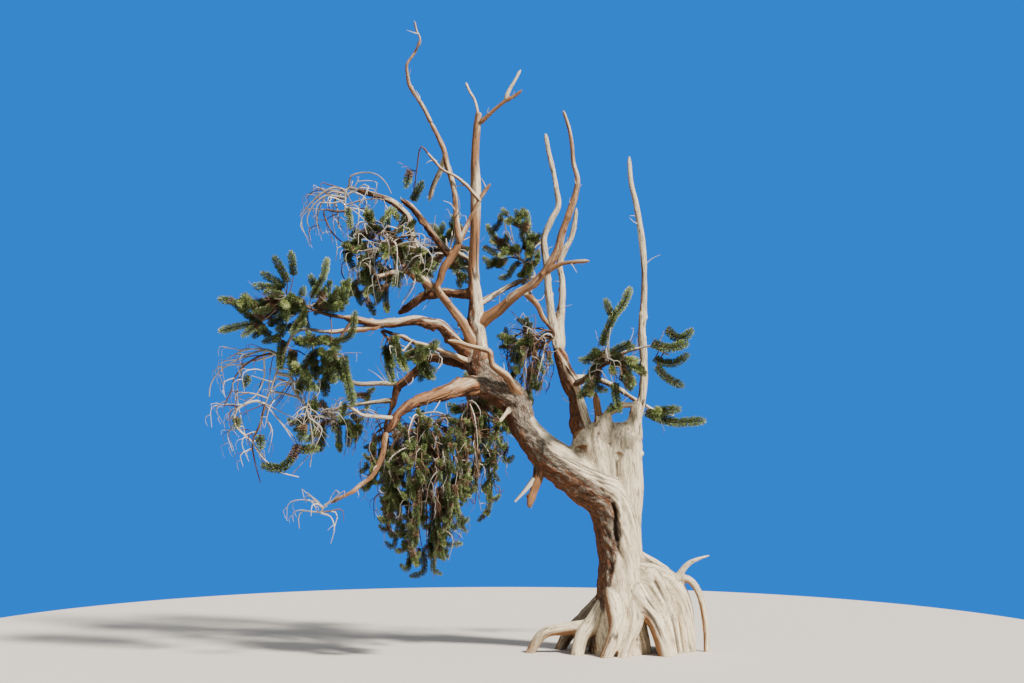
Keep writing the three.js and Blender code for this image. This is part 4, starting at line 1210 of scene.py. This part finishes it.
def trunk_curves():
    """Every curve that the trunk is made of, with the radii at its own points."""
    rows = [(TRUNK_START, TRUNK_STEPS, TRUNK_RADII), (LEADER_START, LEADER_STEPS, LEADER_RADII)]
    return [(Path(walk(start, steps)), metres(radii)) for start, steps, radii in rows + FUSED]


def dome(path, radius, shares):
    """Shares of a radius along a curve, closing at the curve's end."""
    left = np.clip((1 - shares) * path.length / (0.6 * radius), 0, 1)
    return 0.35 + 0.65 * np.sqrt(1 - (1 - left) ** 2)


def trunk_skin(cell):
    """One skin over the trunk, its roots and the swellings that its boughs grow from."""
    points, faces, count = [], [], 0
    shares = np.linspace(0, 1, TRUNK_RINGS)
    curves = [(path, path.station(radii, shares)) for path, radii in trunk_curves()]
    curves[2:] = [(path, radii * dome(path, radii[-1], shares)) for path, radii in curves[2:]]
    for name, (_, _, thick, _, _) in LIMBS.items():
        if thick < 20 or name in NO_COLLAR:
            continue
        path = limb_path(name)
        share = min(4.5 * metres(thick) / path.length, 0.5)
        stub = Path(path.at(np.linspace(0, share, 5)))
        curves.append((stub, metres(thick) * (0.72 + np.exp(-4 * shares))))
    for path, radii in curves:
        sides, ups = path.frames(shares)
        ring, triangles = tube(path.at(shares), sides, ups, radii, TRUNK_SIDES)
        points.append(ring)
        faces.append(triangles + count)
        count += len(ring)
    skin = new_object("trunk_skin", mesh_of("trunk_skin", np.concatenate(points),
                                            np.concatenate(faces)))
    remesh = {"mode": "VOXEL", "voxel_size": cell}
    soften = {"factor": 0.5, "iterations": 7}
    return applied(skin, ("REMESH", remesh), ("SMOOTH", soften))


def trunk_grain(points):
    """For each point: grain coordinates, its curve's radius, station and number, the way
    out from it, and how far the point is from the crease where two curves meet."""
    tables, gaps = [], []
    every = np.arange(len(points))
    for k, (path, radii) in enumerate(trunk_curves()):
        shares = np.linspace(0, 1, max(20, int(path.length / TABLE_STEP)))
        sides, ups = path.frames(shares)
        centres, width = path.at(shares), path.station(radii, shares)
        table = np.column_stack([
            centres, sides, ups, path.heading(shares), shares * path.length, width,
            path.station(np.arange(len(radii)), shares), np.full(len(shares), k)])
        far = np.concatenate([
            np.linalg.norm(part[:, None] - centres[None], axis=2) - width
            for part in np.array_split(points, max(1, len(points) // BATCH))])
        nearest = far.argmin(axis=1)
        tables.append(table[nearest])
        gaps.append(far[every, nearest])
    order = np.argsort(gaps, axis=0)
    first, second = (np.array(gaps)[order[i], every] for i in (0, 1))
    own = np.array(tables)[order[0], every]
    centre, *axes = (own[:, a:a + 3] for a in (0, 3, 6, 9))
    reach, radius, station, curve = own[:, 12:].T
    offset = points - centre
    x, y, z = ((offset * axis).sum(1) for axis in axes)
    along = reach + z
    turn = TWIST * along
    grain = np.stack([x * np.cos(turn) - y * np.sin(turn), x * np.sin(turn) + y * np.cos(turn),
                      along + CURVE_SHIFT * curve], axis=1)
    return grain, radius, station, curve, unit(offset), second - first


def trunk_bark(station, curve, outward, grain):
    """Bark in a strip up the trunk, on one root and at the foot of the leader."""
    marks, ways, limits = zip(*BARK_STRIP)
    facing = np.stack([np.interp(station, marks, column) for column in zip(*ways)], axis=1)
    limit = np.interp(station, marks, limits)
    ragged = 0.16 * noise(spread(grain, 0.09, 0.4), 8) + 0.1 * noise(spread(grain, 0.02, 0.06), 9)
    bark = np.clip(((unit(facing) * outward).sum(1) + ragged - limit) / 0.1, 0, 1)
    bark[curve != 0] = 0
    root = curve == BARK_ROOT
    bark[root] = np.clip(0.7 + 2 * ragged[root], 0, 1)
    leader = curve == 1
    bark[leader] = np.clip((0.25 - grain[leader, 2] + CURVE_SHIFT + ragged[leader]
                            - 0.4 * outward[leader, 0]) / 0.1, 0, 1)
    return bark


def carve(points, normals):
    """How far each point is pushed in by the clefts and the knot hole, and how much painted shade
    darkens it.
    """
    depth = np.zeros(len(points))
    dark = np.zeros(len(points))
    front = normals[:, 1] < 0.3
    for line, width, deep in CARVED:
        path = metres(line)
        dense = smooth(path, 12) if len(path) > 1 else path
        gap = np.min(np.linalg.norm(points[:, None] - dense[None], axis=2), axis=1)
        share = np.exp(-((gap / (2.2 * metres(width))) ** 2)) * front
        depth = np.maximum(depth, share * metres(deep))
        # Painted shade in the clefts and the knot hole.
        dark = np.maximum(dark, np.clip(1.8 * share - 0.5, 0, 1) * min(1, deep / 40))
    return depth, dark


def cut_at_ground(mesh):
    """Cuts a mesh off flat at z = 0 and closes the cut."""
    shape = bmesh.new()
    shape.from_mesh(mesh)
    cut = bmesh.ops.bisect_plane(
        shape, geom=shape.verts[:] + shape.edges[:] + shape.faces[:], dist=1e-5,
        plane_co=(0, 0, 0), plane_no=(0, 0, -1), clear_outer=True)
    rim = [item for item in cut["geom_cut"] if isinstance(item, bmesh.types.BMEdge)]
    bmesh.ops.holes_fill(shape, edges=rim, sides=0)
    shape.to_mesh(mesh)
    shape.free()


def make_trunk(sizes, colours):
    """The trunk with its roots, columns and leader, as one piece."""
    mesh = trunk_skin(sizes.trunk_cell)
    points, normals = vertex_arrays(mesh)
    grain, radius, station, curve, outward, apart = trunk_grain(points)
    bark = trunk_bark(station, curve, outward, grain)
    apart = np.clip(apart / CREASE, 0, 1)
    girth = np.clip(radius / 0.11, 0.2, 1.15) * apart
    depth, dark = carve(points, normals)
    shaped, marks = dress(points, normals, grain, girth, bark)
    shaped -= normals * depth[:, None]
    # Hollow also takes painted shade along the crease where two curves meet.
    marks["hollow"] = np.maximum(np.maximum(marks["hollow"], dark), 0.45 * (1 - apart))
    leader = curve == 1  # brown, partly its own tone and partly painted shade, with two bleached stretches
    along = grain[leader, 2] - CURVE_SHIFT
    bleached = sum(np.exp(-(((along - middle) / reach) ** 2))
                   for middle, reach in ((1.15, 0.15), (0.36, 0.26)))
    marks["bleach_and_shade"][leader] = np.clip(marks["bleach_and_shade"][leader] - 0.6 + 0.7 * bleached, 0, 1)
    mesh.vertices.foreach_set("co", shaped.astype(np.float32).ravel())
    for key, values in marks.items():
        mark(mesh, key, values)
    cut_at_ground(mesh)
    mesh.shade_smooth()
    mesh.materials.clear()
    mesh.materials.append(wood_material("Trunk Wood", colours))
    mesh.name = "trunk_wood"
    return settle(new_object("trunk_wood", mesh), BONE, "trunk")


def limb_bark(name, look, outward, grain):
    """Bark on living boughs, worn off in places on their sunny side, and none on dead ones."""
    if look != BARK or name == "hanging_stub":
        return np.zeros(len(grain))
    ragged = noise(spread(grain, 0.03, 0.18), 8)
    return np.clip((0.5 + ragged - 0.75 * (outward @ SUN)) / 0.2, 0, 1)


def knots(seed, length, along, around, width):
    """Height of the stumps of lost twigs along a limb."""
    chance = random.Random(seed)
    height = np.zeros(len(along))
    for _ in range(round(length / KNOT_SPACING)):
        place, side = chance.uniform(0.05, 0.97) * length, chance.uniform(0, 2 * math.pi)
        swing = (around - side + math.pi) % (2 * math.pi) - math.pi
        gap = ((along - place) / 0.016) ** 2 + (swing * width / 0.012) ** 2
        height += chance.uniform(0.15, 0.5) * width * np.exp(-gap)
    return height


def lumpy(radii, along, seed):
    """Radii of a limb's rings with lumps, closing at both ends."""
    lumps = noise(np.stack([along / 0.09, np.full(len(along), seed), along * 0], 1), 10)
    ends = np.clip((along[-1] - along) / (2.5 * radii[-1]), 0, 1)
    starts = np.clip(along / (1.2 * radii[0]), 0, 1)
    return radii * (1 + 0.13 * lumps) * (0.25 + 0.75 * ends**0.6) * (0.5 + 0.5 * starts**0.5)


def make_limb(name, sizes, material):
    """A bough or a snag, with relief and knots."""
    look, begin, *_ = LIMBS[name]
    path = limb_path(name)
    rings = max(10, int(path.length / sizes.limb_cell))
    shares = np.linspace(0, 1, rings)
    along = shares * path.length
    radii = limb_radius(name, path.length, shares)
    count = max(8, int(2 * math.pi * radii[0] / sizes.limb_cell))
    radii = lumpy(radii, along, begin[2] * 0.11)
    sides, ups = path.frames(shares)
    points, faces = tube(path.at(shares), sides, ups, radii, count)
    around = np.tile(np.arange(count) * 2 * math.pi / count, rings)
    along, width = np.repeat(along, count), np.repeat(radii, count)
    turn = around + LIMB_TWIST * along
    fine = np.clip(width / 0.07, 0.3, 1)  # thin limbs have finer grain
    grain = np.stack([np.cos(turn) * width / fine, np.sin(turn) * width / fine,
                      along / fine.mean() ** 0.5 + begin[0] * 0.37], axis=1)
    outward = unit(points[:-2] - np.repeat(path.at(shares), count, axis=0))
    outward = np.concatenate([outward, -path.heading([0.0]), path.heading([1.0])])
    grain = np.concatenate([grain, grain[:1], grain[-1:]])
    bark = limb_bark(name, look, outward, grain)
    girth = np.concatenate([np.clip(width / 0.06, 0.15, 0.9), [0.0, 0.0]])
    shaped, marks = dress(points, outward, grain, girth, bark)
    shaped[:-2] += outward[:-2] * knots(begin[0] + begin[2], path.length, along, around,
                                        width)[:, None]
    # Each limb's own tone, and painted shade on limbs that lie in the crown's shade.
    marks["bleach_and_shade"] = np.clip(marks["bleach_and_shade"] + TONE_AND_SHADE.get(name, 0), 0, 1)
    mesh = mesh_of(name + "_wood", shaped, faces)
    for key, values in marks.items():
        mark(mesh, key, values)
    mesh.shade_smooth()
    mesh.materials.append(material)
    return settle(new_object(name + "_wood", mesh), look, name)


# Operators.

class PINE_OT_trunk(bpy.types.Operator):
    """Skins the trunk with its roots, bark strip, clefts and knot hole"""
    bl_idname = "pine.trunk"
    bl_label = "Trunk"

    def execute(self, context):
        scene = context.scene
        make_trunk(scene.pine_sizes, scene.pine_colours)
        return {"FINISHED"}


class PINE_OT_limbs(bpy.types.Operator):
    """Gives the boughs and snags their bark or bleached grain"""
    bl_idname = "pine.limbs"
    bl_label = "Boughs and snags"

    def execute(self, context):
        scene = context.scene
        material = wood_material("Limb Wood", scene.pine_colours)
        for name in LIMBS:
            make_limb(name, scene.pine_sizes, material)
        return {"FINISHED"}


class PINE_OT_foliage(bpy.types.Operator):
    """Grows twigs and brushes of needles from the boughs"""
    bl_idname = "pine.foliage"
    bl_label = "Twigs and needles"

    def execute(self, context):
        sizes, colours = context.scene.pine_sizes, context.scene.pine_colours
        twig_tints = {  # in the order of their numbers
            name: plain_material(name, colour) for name, colour in (
                ("Gray Twig", colours.twig_gray), ("Brown Twig", colours.twig_brown),
                ("Pale Twig", colours.twig_pale))}
        needle_tints = {
            name: plain_material(name, colour, NEEDLE_ROUGHNESS) for name, colour in (
                ("Dark Needles", colours.needle_dark), ("Green Needles", colours.needle_mid),
                ("Light Needles", colours.needle_light), ("Dry Needles", colours.needle_dry))}
        twigs, needles = twig_group(twig_tints), needle_group(needle_tints)
        piece = grown("twigs_spurs", spurs(), twigs, {"Sides": SPUR_SIDES, **twig_tints})
        piece.data.shade_smooth()
        settle(piece, "dead_twigs")
        obstacles = wood_obstacles()
        for group, names in GROUPS.items():
            bones, brushes = Skeleton("thick"), Skeleton("fullness", "tip")
            for name in names:
                growth = Growth(name, sizes, obstacles).grow()
                bones.lines += growth.twigs.lines
                brushes.lines += growth.brushes.lines
            piece = grown("twigs_" + group, bones, twigs,
                          {"Sides": TWIG_SIDES, **twig_tints})
            piece.data.shade_smooth()
            settle(piece, "dead_twigs", *names)
            piece = grown("needles_" + group, brushes, needles, {
                "Spacing": sizes.needle_spacing, "Length": sizes.needle_length,
                "Width": sizes.needle_width, "Spread": sizes.needle_spread, "Seed": 5,
                **needle_tints})
            green = [name for name in names if not MASSES[name].get("dead")]
            settle(piece, "needles", *green)
        return {"FINISHED"}


class PINE_OT_stage(bpy.types.Operator):
    """Sets the floor, backdrop, lights and camera"""
    bl_idname = "pine.stage"
    bl_label = "Stage"

    def execute(self, context):
        colours = context.scene.pine_colours
        bpy.ops.mesh.primitive_circle_add(vertices=128, radius=STAGE_RADIUS, fill_type="NGON",
                                          location=STAGE_MIDDLE)
        floor = context.object
        floor.name = "floor"
        floor.data.materials.append(plain_material("Floor", colours.floor, 0.9))
        self.light_world(tuple(colours.backdrop))
        sun = bpy.data.objects.new("key", bpy.data.lights.new("key", "SUN"))
        sun.data.energy = LIGHT_STRENGTH
        sun.data.angle = math.radians(LIGHT_WIDTH)
        sun.data.color = LIGHT_COLOUR
        sun.rotation_euler = [math.radians(angle) for angle in LIGHT_TURN]
        context.scene.collection.objects.link(sun)
        camera = bpy.data.objects.new("camera", bpy.data.cameras.new("camera"))
        camera.location = CAMERA_PLACE
        camera.rotation_euler = (math.radians(90), 0, 0)
        camera.data.lens = CAMERA_LENS
        camera.data.clip_end = 200
        context.scene.collection.objects.link(camera)
        context.scene.camera = camera
        context.scene.view_settings.look = "AgX - Medium High Contrast"
        return {"FINISHED"}

    def light_world(self, backdrop):
        """A soft white sky that the camera sees as the plain backdrop."""
        world = bpy.data.worlds.new("Studio")
        bpy.context.scene.world = world
        world.use_nodes = True
        graph = Graph(world.node_tree)
        seen = graph.node("ShaderNodeLightPath", output="Is Camera Ray")
        colour = graph.mix(seen, SKY, backdrop)
        background = world.node_tree.nodes["Background"]
        graph.tree.links.new(colour.socket, background.inputs["Color"])
        background.inputs["Strength"].default_value = 1.0


class PINE_PT_panel(bpy.types.Panel):
    """Buttons that make the pine, and its sizes and colours"""
    bl_label = "Timberline Pine"
    bl_idname = "PINE_PT_panel"
    bl_space_type = "VIEW_3D"
    bl_region_type = "UI"
    bl_category = "Pine"

    def draw(self, context):
        for operator in OPERATORS:
            self.layout.operator(operator.bl_idname)
        for group in (context.scene.pine_sizes, context.scene.pine_colours):
            for key in group.__annotations__:
                self.layout.prop(group, key)


OPERATORS = (PINE_OT_trunk, PINE_OT_limbs, PINE_OT_foliage, PINE_OT_stage)
CLASSES = (PineSizes, PineColours, *OPERATORS, PINE_PT_panel)


def register():
    for cls in CLASSES:
        bpy.utils.register_class(cls)
    bpy.types.Scene.pine_sizes = bpy.props.PointerProperty(type=PineSizes)
    bpy.types.Scene.pine_colours = bpy.props.PointerProperty(type=PineColours)


def unregister():
    del bpy.types.Scene.pine_sizes
    del bpy.types.Scene.pine_colours
    for cls in reversed(CLASSES):
        bpy.utils.unregister_class(cls)


def main():
    register()
    bpy.ops.pine.trunk()
    bpy.ops.pine.limbs()
    bpy.ops.pine.foliage()
    bpy.ops.pine.stage()


if __name__ == "__main__":
    main()
